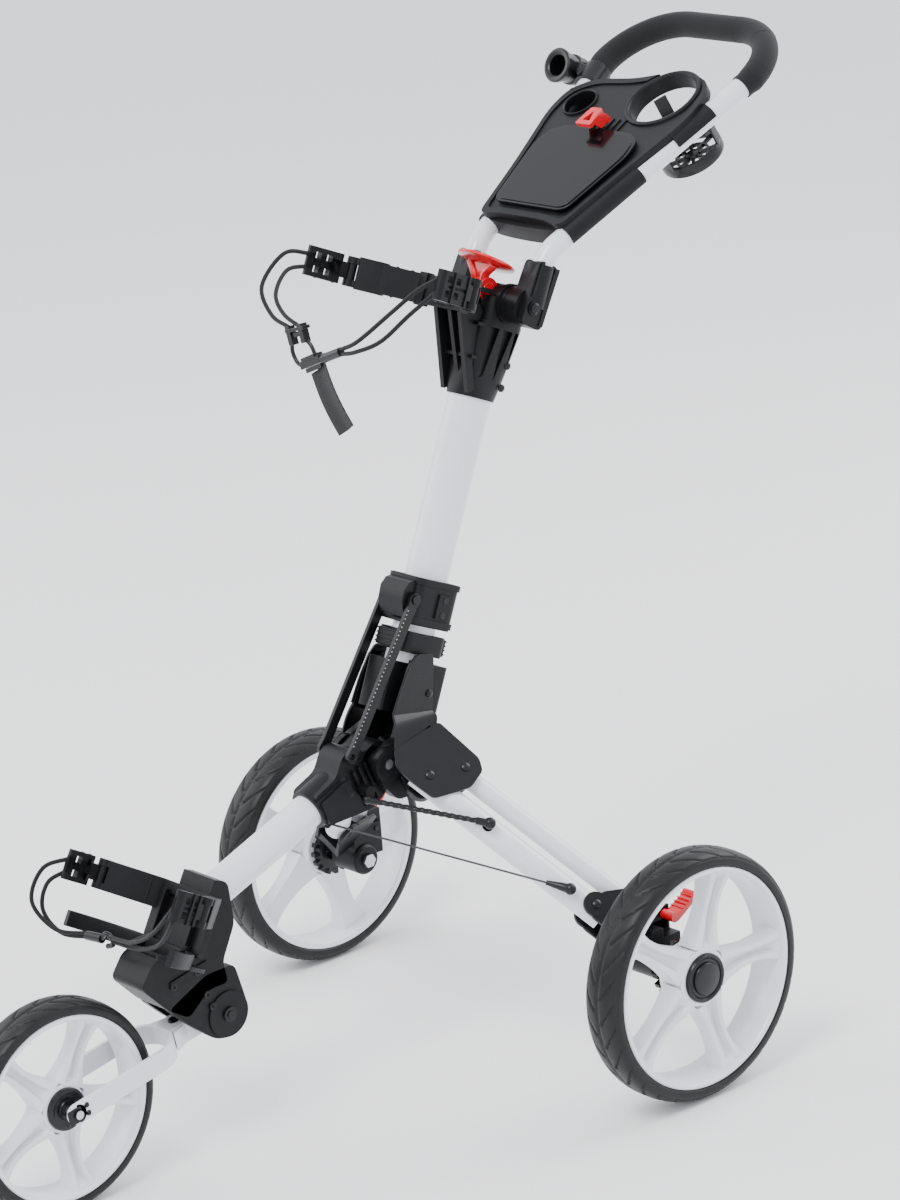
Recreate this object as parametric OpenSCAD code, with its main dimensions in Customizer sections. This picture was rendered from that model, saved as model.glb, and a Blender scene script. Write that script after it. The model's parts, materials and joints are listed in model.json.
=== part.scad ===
// Three-wheel folding push trolley for a golf bag.
// +X is the trolley's left, -Y is its front and +Z is up. The origin is the middle of its footprint.
// Points are written from the ground under the middle of the rear axle line, and at() moves them.

/* [Wheels] */
// Rear wheel diameter
rear_wheel_d = 292; // [280:1:305]
// Front wheel diameter
front_wheel_d = 241; // [230:1:250]
// Distance between the rear wheels' middle planes
track = 657.4; // [640:1:670]
// Distance from the rear axle line to the front axle
wheelbase = 646; // [630:1:660]
// Width of the rear tyres
rear_tyre_w = 52; // [48:1:54]
// Width of the front tyre
front_tyre_w = 46; // [42:1:48]

/* [Tubes] */
// Width of the oval column tube
column_w = 44; // [42:1:46]
// Front to back size of the oval column tube
column_t = 52; // [50:1:54]
// Diameter of the front arm tube
arm_d = 40; // [36:1:41]
// Diameter of the main leg tubes
leg_d = 30; // [28:1:31]
// Diameter of the parallel leg tubes
rear_tube_d = 22; // [18:1:23]
// Diameter of the handle tube
handle_d = 25; // [22:1:26]
// Diameter over the foam grip
grip_d = 31; // [29:1:34]
// Tube wall thickness
wall = 2; // [1.5:0.25:2.5]

/* [Angles] */
// Lean of the column from upright, to the rear
column_lean = 24; // [23:0.5:25]
// Fall of the front arm towards the front wheel
arm_droop = 20.6; // [20:0.1:21]
// Angle of each leg to the cross direction, seen from above
leg_splay = 31.57; // [31:0.1:32]
// Fall of each leg towards its wheel
leg_drop = 38.8; // [38:0.1:39.5]
// Roll of the plane that holds a leg's two tubes
leg_roll = 35.2; // [34:0.1:36]
// Rise of the handle towards the grip
handle_rise = 29.5; // [28:0.5:31]

/* [Handle] */
// Length of the handle from the knuckles to the middle of the grip
handle_len = 397; // [390:1:405]
// Half the spacing of the handle tubes at the knuckles
handle_half_low = 57; // [55:1:60]
// Half the spacing of the handle tubes at the grip
handle_half_high = 122; // [118:1:125]
// Diameter of the cup opening
cup_d = 84; // [76:1:88]

/* [Hidden] */
eps = 0.01;
fit = 0.05;
play = 0.4;
joint_swell = 0.3;
$fn = 48;
rear_wheel_r = rear_wheel_d / 2;
front_wheel_r = front_wheel_d / 2;
wheel_x = track / 2;

// Handle hinge, seen from the rear axle's foot, and the handle tubes' place over it
head_z = 330.6;
foot_y = -69.5;
foot_z = 563;
hinge_y = foot_y + head_z * sin(column_lean);
hinge_z = foot_z + head_z * cos(column_lean);
tube_lift = 31.2;
tube_start = 54.4;
bend_r = 80;
grip_reach = hinge_y + cos(handle_rise) * (tube_start + handle_len)
    - sin(handle_rise) * tube_lift + grip_d / 2;
rear_y = (wheelbase + front_wheel_r - grip_reach) / 2;
function at(p) = [p[0], p[1] + rear_y, p[2]];

column_base = at([0, foot_y, foot_z]);
arm_pivot = at([0, -175, 383]);
leg_pivot = at([66.6, -146.9, 360.7]);
fork_axle = at([0, -wheelbase, front_wheel_r]);
fork_pivot = at([0, -425, 160]);
fork_rise = atan2(fork_pivot[2] - fork_axle[2], fork_pivot[1] - fork_axle[1]);
fork_pivot_y = norm(fork_pivot - fork_axle);
handle_hinge = at([0, hinge_y, hinge_z]);

// Frames: z up the column; -y along the arm; x down a leg; -y back along the fork; y up the handle
module on_column() translate(column_base) rotate([-column_lean, 0, 0]) children();
module on_arm() translate(arm_pivot) rotate([arm_droop, 0, 0]) children();
module on_leg() translate(leg_pivot)
    rotate([0, 0, leg_splay]) rotate([0, leg_drop, 0]) rotate([leg_roll, 0, 0]) children();
module on_fork() translate(fork_axle) rotate([fork_rise, 0, 0]) children();
module on_handle() translate(handle_hinge) rotate([handle_rise, 0, 0]) children();
module other_side() mirror([1, 0, 0]) children();
module both_sides() { children(); other_side() children(); }

// Place of a leg's second tube from the first, and the length between its pivots
tube2_x = 26;
tube2_y = 36;
leg_len = 237;

function span(a, b) = norm(b - a);
// Straight rod between two points
module rod(a, b, d) {
    v = b - a;
    translate(a) rotate([0, acos(v[2] / norm(v)), atan2(v[1], v[0])]) cylinder(d = d, h = norm(v));
}
// Cylinder across the trolley, centred on its own length
module cross_pin(d, w) rotate([0, 90, 0]) cylinder(d = d, h = w, center = true);
// Outline drawn in the y-z plane and thickened across the trolley
module side_plate(w, points, cx = 0)
    translate([cx - w / 2, 0, 0]) rotate([90, 0, 90]) linear_extrude(w) polygon(points);
// Ring or disc round the x axis
module disc_x(d, w, cx = 0) translate([cx, 0, 0]) cross_pin(d, w);
module box(size, centre) translate(centre) cube(size, center = true);
// Box with rounded edges along z
module soft_box(size, r, centre) translate(centre) linear_extrude(size[2], center = true) {
    square([size[0] - 2 * r, size[1]], center = true);
    square([size[0], size[1] - 2 * r], center = true);
    for (sx = [-1, 1], sy = [-1, 1])
        translate([sx * (size[0] / 2 - r), sy * (size[1] / 2 - r)]) circle(r);
}
module oval(w, t) {
    for (s = [-1, 1]) translate([0, s * (t - w) / 2]) circle(d = w, $fn = 64);
    square([w, t - w], center = true);
}

// ---------- column and fixed castings ----------
column_foot = -130;
column_head = 300;
module column_tube() color("white") on_column()
    translate([0, 0, column_foot]) linear_extrude(column_head - column_foot) difference() {
        oval(column_w, column_t);
        oval(column_w - 2 * wall, column_t - 2 * wall);
    }

hub_pin_d = 12;
pivot_rel = arm_pivot - column_base;
pivot_y = pivot_rel[1] * cos(column_lean) - pivot_rel[2] * sin(column_lean);
pivot_z = pivot_rel[1] * sin(column_lean) + pivot_rel[2] * cos(column_lean);
cheek_in = 20.6;
cheek_out = 34;
module hub_casting() color("#202022") on_column() difference() {
    union() {
        translate([0, 0, -150]) linear_extrude(60) difference() {
            union() {
                translate([0, 11]) square([68, 50], center = true);
                translate([0, -24]) square([40, 32], center = true);
            }
            translate([0, -20]) square([24, 16], center = true);
        }
        for (s = [-1, 1]) {
            cx = s * (cheek_in + cheek_out) / 2;
            side_plate(cheek_out - cheek_in, [[-14, -140], [36, -140], [44, -185], [38, -232],
                [8, -246], [pivot_y, -232], [-44, pivot_z], [pivot_y, -184], [-14, -178]], cx);
            translate([0, pivot_y, pivot_z]) disc_x(45, cheek_out - cheek_in, cx);
            translate([0, pivot_y, pivot_z]) disc_x(40, 6, s * (cheek_out + 3));
        }
        side_plate(2 * cheek_in, [[14, -150], [36, -150], [44, -185], [38, -232], [14, -243]]);
        both_sides() hub_leg_seat();
    }
    translate([0, 0, column_foot - eps]) linear_extrude(80) oval(column_w + 2 * fit, column_t + 2 * fit);
    translate([0, pivot_y, pivot_z]) cross_pin(hub_pin_d + 2 * fit, 100);
    for (s = [0, 1]) mirror([s, 0, 0]) {
        column_to_leg() leg_pin_holes();
        translate([cheek_out + fit / 2, 0, 0]) side_plate(bracket_t + 1, [for (p = bracket_upright)
            bracket_mid + (p - bracket_mid) * 1.05], (bracket_t + 1) / 2);
    }
}
// Turns a shape that is drawn on the leg into the column's frame
module column_to_leg() rotate([column_lean, 0, 0]) translate(-column_base) on_leg() children();
seat_t = 9;
module hub_leg_seat() column_to_leg() translate([0, 0, -leg_d / 2 - play - seat_t]) linear_extrude(seat_t) {
    polygon([[-32, -4], [-6, -16], [12, -6], [40, 22], [40, 48], [20, 54], [-20, 54], [-50, 30]]);
    circle(d = 30);
    translate([tube2_x, tube2_y]) circle(d = 30);
}
leg_pin_d = 8;
module leg_pin_holes() for (p = [[0, 0], [tube2_x, tube2_y]])
    translate([p[0], p[1], -60]) cylinder(d = leg_pin_d + 2 * fit, h = 120);

bracket_t = 3;
bracket_z = leg_d / 2 + play;
bracket_upright = [[-10, -178], [-10, -110], [-2, -98], [30, -98], [34, -104], [34, -150], [38, -176],
    [30, -196], [0, -196]];
bracket_mid = [14, -148];
module leg_bracket() {
    on_leg() difference() {
        translate([0, 0, bracket_z]) linear_extrude(bracket_t) difference() {
            union() {
                polygon([[-34, -17], [16, -17], [44, 20], [44, 46], [34, 54], [12, 54], [-40, 26]]);
                circle(d = 34);
            }
            for (p = [[0, 0], [tube2_x, tube2_y]]) translate(p) circle(d = leg_pin_d + 2 * fit);
        }
        translate([-52, 0, 0]) rotate([0, 0, 30]) cube([20, 200, 200], center = true);
    }
    on_column() translate([cheek_out + fit, 0, 0]) side_plate(bracket_t, bracket_upright, bracket_t / 2);
}
module leg_brackets() color("#141416") both_sides() leg_bracket();

module leg_pins() color("silver") both_sides() on_leg()
    for (p = [[0, 0], [tube2_x, tube2_y]]) translate([p[0], p[1], 0]) {
        translate([0, 0, -bracket_z - seat_t]) cylinder(d = leg_pin_d, h = 2 * bracket_z + seat_t + bracket_t);
        translate([0, 0, bracket_z + bracket_t]) cylinder(d = 13, h = 2.5);
    }

// Casting on the column's head: it holds the bag cradle in front and the handle's hinge behind
boss_d = 50;
module upper_casting() color("#202022") on_column() difference() {
    union() {
        translate([0, 0, 218]) linear_extrude(51) difference() {
            soft_square(53, 62, 10);
            oval(column_w + 2 * fit, column_t + 2 * fit);
        }
        translate([0, 0, 268]) linear_extrude(38) soft_square(57, 66, 10);
        translate([0, 0, head_z - 26]) linear_extrude(30) soft_square(60, 62, 10);
        translate([0, 0, head_z]) disc_x(boss_d, 80);
        for (s = [-1, 1]) side_plate(5, [[-28, 226], [-28, 306], [-66, 340], [-66, 308]], s * 21);
        side_plate(6, [[-28, 232], [-28, 306], [-66, 336], [-66, 314]]);
    }
    translate([0, 0, 170]) linear_extrude(column_head - 170 + fit) oval(column_w + 2 * fit, column_t + 2 * fit);
    translate([0, 0, head_z]) cross_pin(10 + 2 * fit, 200);
    translate([0, -22, head_z + 10]) rotate([0, 90, 0]) cylinder(r = 17, h = 26, center = true);
    translate([0, -30, head_z + 22]) cube([26, 44, 30], center = true);
}
module soft_square(w, t, r) {
    square([w - 2 * r, t], center = true);
    square([w, t - 2 * r], center = true);
    for (sx = [-1, 1], sy = [-1, 1]) translate([sx * (w / 2 - r), sy * (t / 2 - r)]) circle(r);
}

// Curved band that carries the bag's top; an ear hangs on a pin at each end
band_h = 34;
ear_pin = [104, -128];
band_z = 324;
module band_plan(t) {
    translate([0, -66 - t / 2]) square([96, t], center = true);
    for (s = [-1, 1]) mirror([s > 0 ? 0 : 1, 0])
        polygon([[46, -66], [46, -66 - t], [ear_pin[0] - 8, ear_pin[1] + 6], [ear_pin[0] + 2, ear_pin[1] + 12]]);
}
module upper_cradle() color("#1c1c1e") on_column() translate([0, 0, band_z]) difference() {
    union() {
        translate([0, 0, -band_h / 2]) linear_extrude(band_h) band_plan(7);
        for (s = [-1, 1], z = [-1, 1])
            translate([s * ear_pin[0], ear_pin[1], z * (band_h / 2 - 4) - 4]) cylinder(d = 14, h = 8);
    }
    for (s = [-1, 1]) {
        translate([s * ear_pin[0], ear_pin[1], -30]) cylinder(d = 5 + 2 * fit, h = 60);
        translate([s * ear_pin[0], ear_pin[1], -band_h / 2 + 8 - play])
            cylinder(d = 18, h = band_h - 16 + 2 * play);
    }
}
// Ear with its own pin: a plate with square holes that swings on the band's end
module ear(pin_h, plate_len) {
    cylinder(d = 5, h = pin_h, center = true);
    difference() {
        union() {
            cylinder(d = 12, h = pin_h - 16, center = true);
            translate([-3, -plate_len, -(pin_h - 16) / 2]) cube([7, plate_len, pin_h - 16]);
            translate([-3, -plate_len, -pin_h / 2]) cube([7, plate_len - 14, pin_h]);
        }
        for (y = [-plate_len + 12, -plate_len + 28], z = [-8, 8])
            translate([0, y, z]) cube([20, 7, 7], center = true);
    }
}
upper_ear_len = 62;
module upper_ear_at(s) on_column() translate([s * ear_pin[0], ear_pin[1], band_z])
    mirror([s > 0 ? 0 : 1, 0, 0]) rotate([0, 0, 8]) ear(band_h, upper_ear_len);
module upper_left_ear() color("#161618") upper_ear_at(1);
module upper_right_ear() color("#161618") upper_ear_at(-1);

// ---------- sliding collar, links and lock ring ----------
collar_top = 6;
collar_h = 54;
link_top = [-32.2, -19.8];
link_pin_d = 6;
module collar() color("#202022") on_column() difference() {
    union() {
        translate([0, 0, collar_top - collar_h]) linear_extrude(collar_h) soft_square(56, 64, 9);
        side_plate(40, [[-20, 4], [-46, -4], [-46, -24], [-34, -46], [-20, -46]]);
    }
    translate([0, 0, -80]) linear_extrude(120) oval(column_w + 0.8, column_t + 0.8);
    translate([0, link_top[0], link_top[1]]) cross_pin(link_pin_d + 2 * fit, 100);
    for (s = [-1, 1]) box([8, 24, 60], [s * 25.2, -35.5, -24]);
}
// Two flat bars from the collar to the arm's knuckle, on their top pin
link_len = 191.7;
link_x = 25;
link_bar_t = 5;
link_tilt = 11.1;
module link_bars() color("#101012") on_column() translate([0, link_top[0], link_top[1]]) {
    cross_pin(link_pin_d, 2 * link_x + link_bar_t + 4);
    for (s = [-1, 1]) rotate([-link_tilt, 0, 0]) translate([s * link_x - link_bar_t / 2, 0, 0])
        rotate([90, 0, 90]) linear_extrude(link_bar_t) difference() {
            union() {
                circle(d = 15);
                translate([0, -link_len]) circle(d = 15);
                translate([-6, -link_len]) square([12, link_len]);
            }
            translate([0, -link_len]) circle(d = link_pin_d + 1);
        }
}
module latch_ring() color("#1c1c1e") on_column() difference() {
    union() {
        translate([0, 0, -80]) linear_extrude(24) soft_square(54, 60, 9);
        translate([0, 34, -68]) soft_box([34, 14, 20], 4, [0, 0, 0]);
        translate([0, -34, -68]) soft_box([34, 14, 20], 4, [0, 0, 0]);
    }
    translate([0, 0, -100]) linear_extrude(60) oval(column_w + 0.8, column_t + 0.8);
    for (s = [-1, 1]) box([9, 36, 60], [s * 25.5, -34, -68]);
}

// ---------- front arm ----------
link_low = [-32.8, 31.6];
arm_z = -2.4;
arm_start = -74;
arm_end = -264;
module arm_knuckle() color("#202022") on_arm() difference() {
    union() {
        side_plate(40, [[-96, 18], [-60, 20], [-42, 36], [-26, 38], [-14, 22], [0, 22],
            [22, 0], [4, -30], [-12, -44], [-34, -44], [-96, -23]]);
        disc_x(46, 40);
        side_plate(54, [[-94, 8], [-60, 12], [-48, 12], [-44, -20], [-46, -36], [-94, -18]]);
        translate([0, -94, arm_z]) rotate([-90, 0, 0]) cylinder(d = arm_d + 9, h = 50);
        translate([0, link_low[0], link_low[1]]) disc_x(20, 40);
        translate([0, -36, -13]) disc_x(14, 76);
    }
    cross_pin(hub_pin_d + 2 * fit, 100);
    translate([0, link_low[0], link_low[1]]) cross_pin(link_pin_d + 2 * fit, 100);
    translate([0, -100, arm_z]) rotate([-90, 0, 0]) cylinder(d = arm_d + 2 * fit, h = 26);
    difference() {
        translate([0, -100, arm_z]) rotate([-90, 0, 0]) cylinder(d = 24, h = 60);
        translate([0, -60, 0]) cube([60, 0.1, 60], center = true);
    }
}
module arm_tube() color("white") on_arm() translate([0, arm_start, arm_z]) rotate([90, 0, 0])
    difference() {
        cylinder(d = arm_d, h = arm_start - arm_end, $fn = 64);
        translate([0, 0, -1]) cylinder(d = arm_d - 2 * wall, h = arm_start - arm_end + 2, $fn = 64);
    }
module arm_pins() color("silver") on_arm() {
    cross_pin(hub_pin_d, 78);
    translate([0, link_low[0], link_low[1]]) cross_pin(link_pin_d, 43);
}
// Casting at the arm's end: it holds the fork's pivot below and the lower bag cradle above
fork_pivot_d = 10;
block_w = 56;
module front_block() color("#202022") difference() {
    translate(at([0, 0, 0])) union() {
        side_plate(block_w, [[-408, 312], [-452, 330], [-470, 290], [-478, 262], [-520, 250], [-538, 226],
            [-505, 190], [-478, 172], [-448, 196], [-420, 196], [-425, 222], [-404, 262]]);
        for (s = [-1, 1]) {
            translate([0, -425, 160]) disc_x(58, 12, s * 22);
            side_plate(12, [[-505, 190], [-478, 163], [-425, 131], [-396, 160], [-410, 215], [-450, 215]], s * 22);
        }
    }
    on_arm() translate([0, -230, arm_z]) rotate([90, 0, 0]) cylinder(d = arm_d + 2 * fit, h = 35);
    translate(fork_pivot) cross_pin(fork_pivot_d + 2 * fit, 100);
    translate(fork_pivot) cross_pin(60, 32);
    on_cradle() box([200, 200, 200], [0, -104.6, 53.6]);
    translate(at([0, -470, 152])) cube([32, 90, 40], center = true);
}
module block_bolts() color("#2a2a2c") {
    translate(at([0, 0, 0])) both_sides() for (p = [[-496, 216], [-462, 222], [-452, 192], [-446, 176]])
        translate([block_w / 2 + 1, p[0], p[1]]) cross_pin(7, 2);
    translate(fork_pivot) {
        cross_pin(fork_pivot_d, block_w + 2);
        for (s = [-1, 1]) disc_x(17, 3, s * (block_w / 2 + 2.5));
    }
}

// Lower bag cradle in a frame whose z runs up the bag's axis
cradle_tilt = 30;
cradle_at = [0, -448, 270];
module on_cradle() translate(at(cradle_at)) rotate([-cradle_tilt, 0, 0]) children();
low_ear_pin = [92, -62];
low_band_h = 34;
module lower_cradle() color("#1c1c1e") on_cradle() difference() {
    union() {
        translate([0, -9, 2]) cube([100, 8, 70], center = true);
        translate([0, 0, 20 - low_band_h / 2]) linear_extrude(low_band_h) for (s = [-1, 1])
            mirror([s > 0 ? 0 : 1, 0]) polygon([[46, -5], [46, -13], [low_ear_pin[0] - 8, low_ear_pin[1] + 6],
                [low_ear_pin[0] + 2, low_ear_pin[1] + 12]]);
        for (s = [-1, 1], z = [-1, 1])
            translate([s * low_ear_pin[0], low_ear_pin[1], 20 + z * (low_band_h / 2 - 4) - 4])
                cylinder(d = 14, h = 8);
        translate([0, 0, -46]) linear_extrude(18) difference() {
            lip_plan(100);
            lip_plan(91);
        }
        translate([0, -18, -37]) cube([70, 24, 18], center = true);
    }
    for (s = [-1, 1]) {
        translate([s * low_ear_pin[0], low_ear_pin[1], -20]) cylinder(d = 5 + 2 * fit, h = 80);
        translate([s * low_ear_pin[0], low_ear_pin[1], 20 - low_band_h / 2 + 8 - play])
            cylinder(d = 18, h = low_band_h - 16 + 2 * play);
    }
}
module lip_plan(r) intersection() {
    translate([0, -r - 6 + (100 - r) * -1]) circle(r, $fn = 96);
    translate([0, -50]) square([190, 96], center = true);
}
low_ear_len = 48;
module lower_ear_at(s) on_cradle() translate([s * low_ear_pin[0], low_ear_pin[1], 20])
    mirror([s > 0 ? 0 : 1, 0, 0]) rotate([0, 0, 8]) ear(low_band_h, low_ear_len);
module lower_left_ear() color("#161618") lower_ear_at(1);
module lower_right_ear() color("#161618") lower_ear_at(-1);

// ---------- front fork and wheel ----------
fork_x = 38;
fork_bar_t = 5;
fork_bar_w = 24;
fork_bend_y = 118;
stem_w = 30;
axle_d = 10;
module front_fork() color("white") on_fork() difference() {
    union() {
        for (s = [-1, 1]) side_plate(fork_bar_t, [[0, -fork_bar_w / 2], [fork_bend_y, -fork_bar_w / 2],
            [fork_bend_y, fork_bar_w / 2], [0, fork_bar_w / 2]], s * fork_x);
        disc_x(fork_bar_w, fork_bar_t, fork_x);
        disc_x(fork_bar_w, fork_bar_t, -fork_x);
        translate([0, fork_bend_y, -fork_bar_w / 2]) rotate_extrude(angle = 180, $fn = 72)
            translate([fork_x - fork_bar_t / 2, 0]) square([fork_bar_t, fork_bar_w]);
        box([stem_w, 58, stem_w - 4], [0, 182, 0]);
        translate([0, fork_pivot_y, 0]) disc_x(stem_w - 4, stem_w);
        box([stem_w, 14, stem_w - 4], [0, 217, 0]);
    }
    cross_pin(axle_d + 2 * fit, 200);
    translate([0, fork_pivot_y, 0]) cross_pin(fork_pivot_d + 2 * fit, 100);
}
module front_axle() color("silver") on_fork() {
    cross_pin(axle_d, 2 * fork_x + fork_bar_t + 2);
    for (s = [-1, 1]) disc_x(17, 4, s * (fork_x + fork_bar_t / 2 + 2));
}
// Wheel parts are drawn round the z axis, with the outer face at +z
module rim_profile(r_out, w, hub_r, bore_r) {
    translate([r_out - 8, -w / 2 + 2]) square([8, w - 4]);
    translate([r_out - 5, -w / 2]) square([5, w]);
    translate([bore_r, -w / 2 + 6]) square([hub_r - bore_r, w - 12]);
}
module spoke(r_in, r_out, w_in, w_out, h) linear_extrude(h, center = true)
    polygon([[r_in, -w_in / 2], [r_out, -w_out / 2], [r_out, w_out / 2], [r_in, w_in / 2]]);
module rim(r_out, w, hub_r, bore_r, spoke_w) {
    rotate_extrude($fn = 96) rim_profile(r_out, w, hub_r, bore_r);
    for (i = [0:4]) rotate(i * 72) spoke(hub_r - 2, r_out - 6, spoke_w, spoke_w * 1.25, 18);
}
module tyre(r_out, r_in, w) rotate_extrude($fn = 96) {
    translate([r_in, -w / 2]) square([7, w]);
    translate([r_in + 7 - eps, -w / 2 + 2]) square([r_out - r_in - 15, w - 4]);
    translate([r_out - 9, -w / 2 + 7]) square([5, w - 14]);
    translate([r_out - 4 - eps, -w / 2 + 12]) square([4 + eps, w - 24]);
}
rear_rim_r = 128;
front_rim_r = 105.8;
rear_hub_r = 30;
front_hub_r = 26;
module on_front_wheel() translate(fork_axle) rotate([0, 90, 0]) children();
module front_rim() color("white") on_front_wheel() rim(front_rim_r, 44, front_hub_r, 13, 26);
module front_tyre() color("#262628") on_front_wheel() tyre(front_wheel_r, front_rim_r, front_tyre_w);
module bearing(outer, inner, w) difference() {
    cylinder(d = outer, h = w, center = true);
    cylinder(d = inner, h = w + 1, center = true);
}
module front_bearings() color("silver") on_front_wheel()
    for (s = [-1, 1]) translate([0, 0, s * 12]) bearing(26, axle_d + 2 * fit, 8);
module front_hub_caps() color("#161618") on_front_wheel() for (s = [-1, 1])
    translate([0, 0, s * 19.5]) difference() {
        cylinder(r = 24, h = 7, center = true);
        cylinder(d = axle_d + 1, h = 10, center = true);
    }

// ---------- legs ----------
pivot_end = 14;
module leg_tube() on_leg() difference() {
    union() {
        translate([-pivot_end, 0, 0]) rotate([0, 90, 0]) cylinder(d = leg_d, h = leg_len + 2 * pivot_end, $fn = 64);
        translate([stay_ball[0], stay_ball[1], 0]) cylinder(d = 6, h = stay_ball[2] - 8.2);
        translate([wire_ball[0], wire_ball[1], 0]) cylinder(d = 6, h = wire_ball[2] - 7.3);
    }
    translate([20, 0, 0]) rotate([0, 90, 0]) cylinder(d = leg_d - 2 * wall, h = leg_len - 40);
    for (x = [0, leg_len]) translate([x, 0, -30]) cylinder(d = leg_pin_d + 2 * fit, h = 60);
}
module left_leg_tube() color("white") leg_tube();
module right_leg_tube() color("white") other_side() leg_tube();
module rear_tube() on_leg() translate([tube2_x, tube2_y, 0]) difference() {
    translate([-pivot_end + 3, 0, 0]) rotate([0, 90, 0]) cylinder(d = rear_tube_d, h = leg_len + 2 * pivot_end - 6);
    for (x = [0, leg_len]) translate([x, 0, -30]) cylinder(d = leg_pin_d + 2 * fit, h = 60);
}
module left_rear_tube() color("white") rear_tube();
module right_rear_tube() color("white") other_side() rear_tube();

// Wheel carrier: two plates over the tubes' ends, a web, and a block round the axle
plate_t = 4;
module carrier() difference() {
    union() {
        on_leg() translate([leg_len, 0, 0]) {
            for (z = [bracket_z, -bracket_z - plate_t]) translate([0, 0, z]) linear_extrude(plate_t) {
                polygon([[0, -16], [62, -16], [62, 34], [tube2_x, tube2_y + 15], [-2, 16]]);
                circle(d = 32);
                translate([tube2_x, tube2_y]) circle(d = 28);
            }
            translate([52.5, 10, 0]) cube([21, 50, 2 * bracket_z + 2 * plate_t], center = true);
        }
        translate(at([262, 0, rear_wheel_r])) disc_x(50, 50);
        translate(at([262, 8, rear_wheel_r + 22])) cube([40, 44, 40], center = true);
        translate(at([254, 20, rear_wheel_r + 36])) cube([16, 26, 42], center = true);
    }
    translate(at([270, 0, rear_wheel_r])) cross_pin(12 + 2 * fit, 120);
    translate(at([262, 24, rear_wheel_r + 48])) cross_pin(5 + 2 * fit, 80);
    translate(at([273, 26, rear_wheel_r + 50])) cube([22, 44, 40], center = true);
    translate(at([292, 0, rear_wheel_r])) disc_x(90, 20);
    on_leg() translate([leg_len, 0, 0]) leg_pin_holes();
}
module left_carrier() color("#1c1c1e") carrier();
module right_carrier() color("#1c1c1e") other_side() carrier();
axle_in = 232;
axle_out = wheel_x + 16;
module axle_and_pins() {
    translate(at([(axle_in + axle_out) / 2, 0, rear_wheel_r])) cross_pin(12, axle_out - axle_in);
    translate(at([axle_in + 1.8, 0, rear_wheel_r])) disc_x(20, 6);
    on_leg() for (p = [[0, 0], [tube2_x, tube2_y]]) translate([leg_len + p[0], p[1], 0]) {
        cylinder(d = leg_pin_d, h = 2 * bracket_z + 2 * plate_t, center = true);
        translate([0, 0, bracket_z + plate_t]) cylinder(d = 13, h = 2.5);
    }
}
module left_axle_and_pins() color("silver") axle_and_pins();
module right_axle_and_pins() color("silver") other_side() axle_and_pins();
// Foot pedal of the parking brake, on its cross pin
module brake_pedal() translate(at([0, 24, rear_wheel_r + 48])) {
    translate([263, 0, 0]) cross_pin(5, 30);
    translate([272.5, 0, 0]) disc_x(12, 20);
    side_plate(20, [[-4, -4], [4, -6], [30, 10], [36, 20], [30, 22], [-4, 6]], 272.5);
}
module left_brake_pedal() color("red") brake_pedal();
module right_brake_pedal() color("red") other_side() brake_pedal();

module on_rear_wheel() translate(at([wheel_x, 0, rear_wheel_r])) rotate([0, 90, 0]) children();
module rear_rim() on_rear_wheel() rim(rear_rim_r, 50, rear_hub_r, 22, 32);
module left_rim() color("white") rear_rim();
module right_rim() color("white") other_side() rear_rim();
module rear_tyre() on_rear_wheel() tyre(rear_wheel_r, rear_rim_r, rear_tyre_w);
module left_tyre() color("#262628") rear_tyre();
module right_tyre() color("#262628") other_side() rear_tyre();
// Hub: outer ring and disc, a core in the rim, and the toothed brake ring on the inside
teeth = 16;
module hub() on_rear_wheel() difference() {
    union() {
        translate([0, 0, -21]) cylinder(d = 44, h = 42);
        translate([0, 0, 19]) cylinder(r = 27, h = 8);
        translate([0, 0, -30]) cylinder(r = 26, h = 10);
        translate([0, 0, -30]) for (i = [0:teeth - 1]) rotate(i * 360 / teeth)
            translate([28, 0, 4]) cube([9, 5.5, 8], center = true);
    }
    translate([0, 0, -31]) cylinder(d = 28, h = 48);
    translate([0, 0, 10]) cylinder(d = 16, h = 8);
}
module left_hub() color("#161618") hub();
module right_hub() color("#161618") other_side() hub();
module rear_bearings() on_rear_wheel() for (s = [-1, 1]) translate([0, 0, s * 10]) bearing(28, 12 + 2 * fit, 8);
module left_bearings() color("silver") rear_bearings();
module right_bearings() color("silver") other_side() rear_bearings();

// Ball-ended stay between the arm's knuckle and a leg, in the parked position
stay_ball = [86.7, -4.2, 23.4];
wire_ball = [203, -7.7, 23.6];
stay_front = at([45, -216, 354]);
function leg_point(p) = leg_pivot + p[0] * leg_x + p[1] * leg_y + p[2] * leg_z;
leg_x = [cos(leg_drop) * cos(leg_splay), cos(leg_drop) * sin(leg_splay), -sin(leg_drop)];
leg_h = [-sin(leg_splay), cos(leg_splay), 0];
leg_w = [sin(leg_drop) * cos(leg_splay), sin(leg_drop) * sin(leg_splay), cos(leg_drop)];
leg_y = leg_h * cos(leg_roll) + leg_w * sin(leg_roll);
leg_z = leg_w * cos(leg_roll) - leg_h * sin(leg_roll);
stay_rear = leg_point(stay_ball);
module stay_rod() {
    rod(stay_front, stay_rear, 6);
    translate(stay_front) sphere(d = 10);
    translate(stay_rear) sphere(d = 14);
}
module left_stay_rod() color("#161618") stay_rod();
module right_stay_rod() color("#161618") other_side() stay_rod();
// Steel wire from the eye under the knuckle to a boot and ball on the leg
wire_rear = leg_point(wire_ball);
wire_front = at([8, -241.4, 323.8]);
boot_len = 28;
module leg_wire() {
    toward = (wire_front - wire_rear) / span(wire_front, wire_rear);
    rod(wire_rear, wire_front, 2.5);
    rod(wire_rear, wire_rear + toward * boot_len, 8);
    translate(wire_rear) sphere(d = 14);
}
module left_wire() color("silver") leg_wire();
module right_wire() color("silver") other_side() leg_wire();

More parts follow.
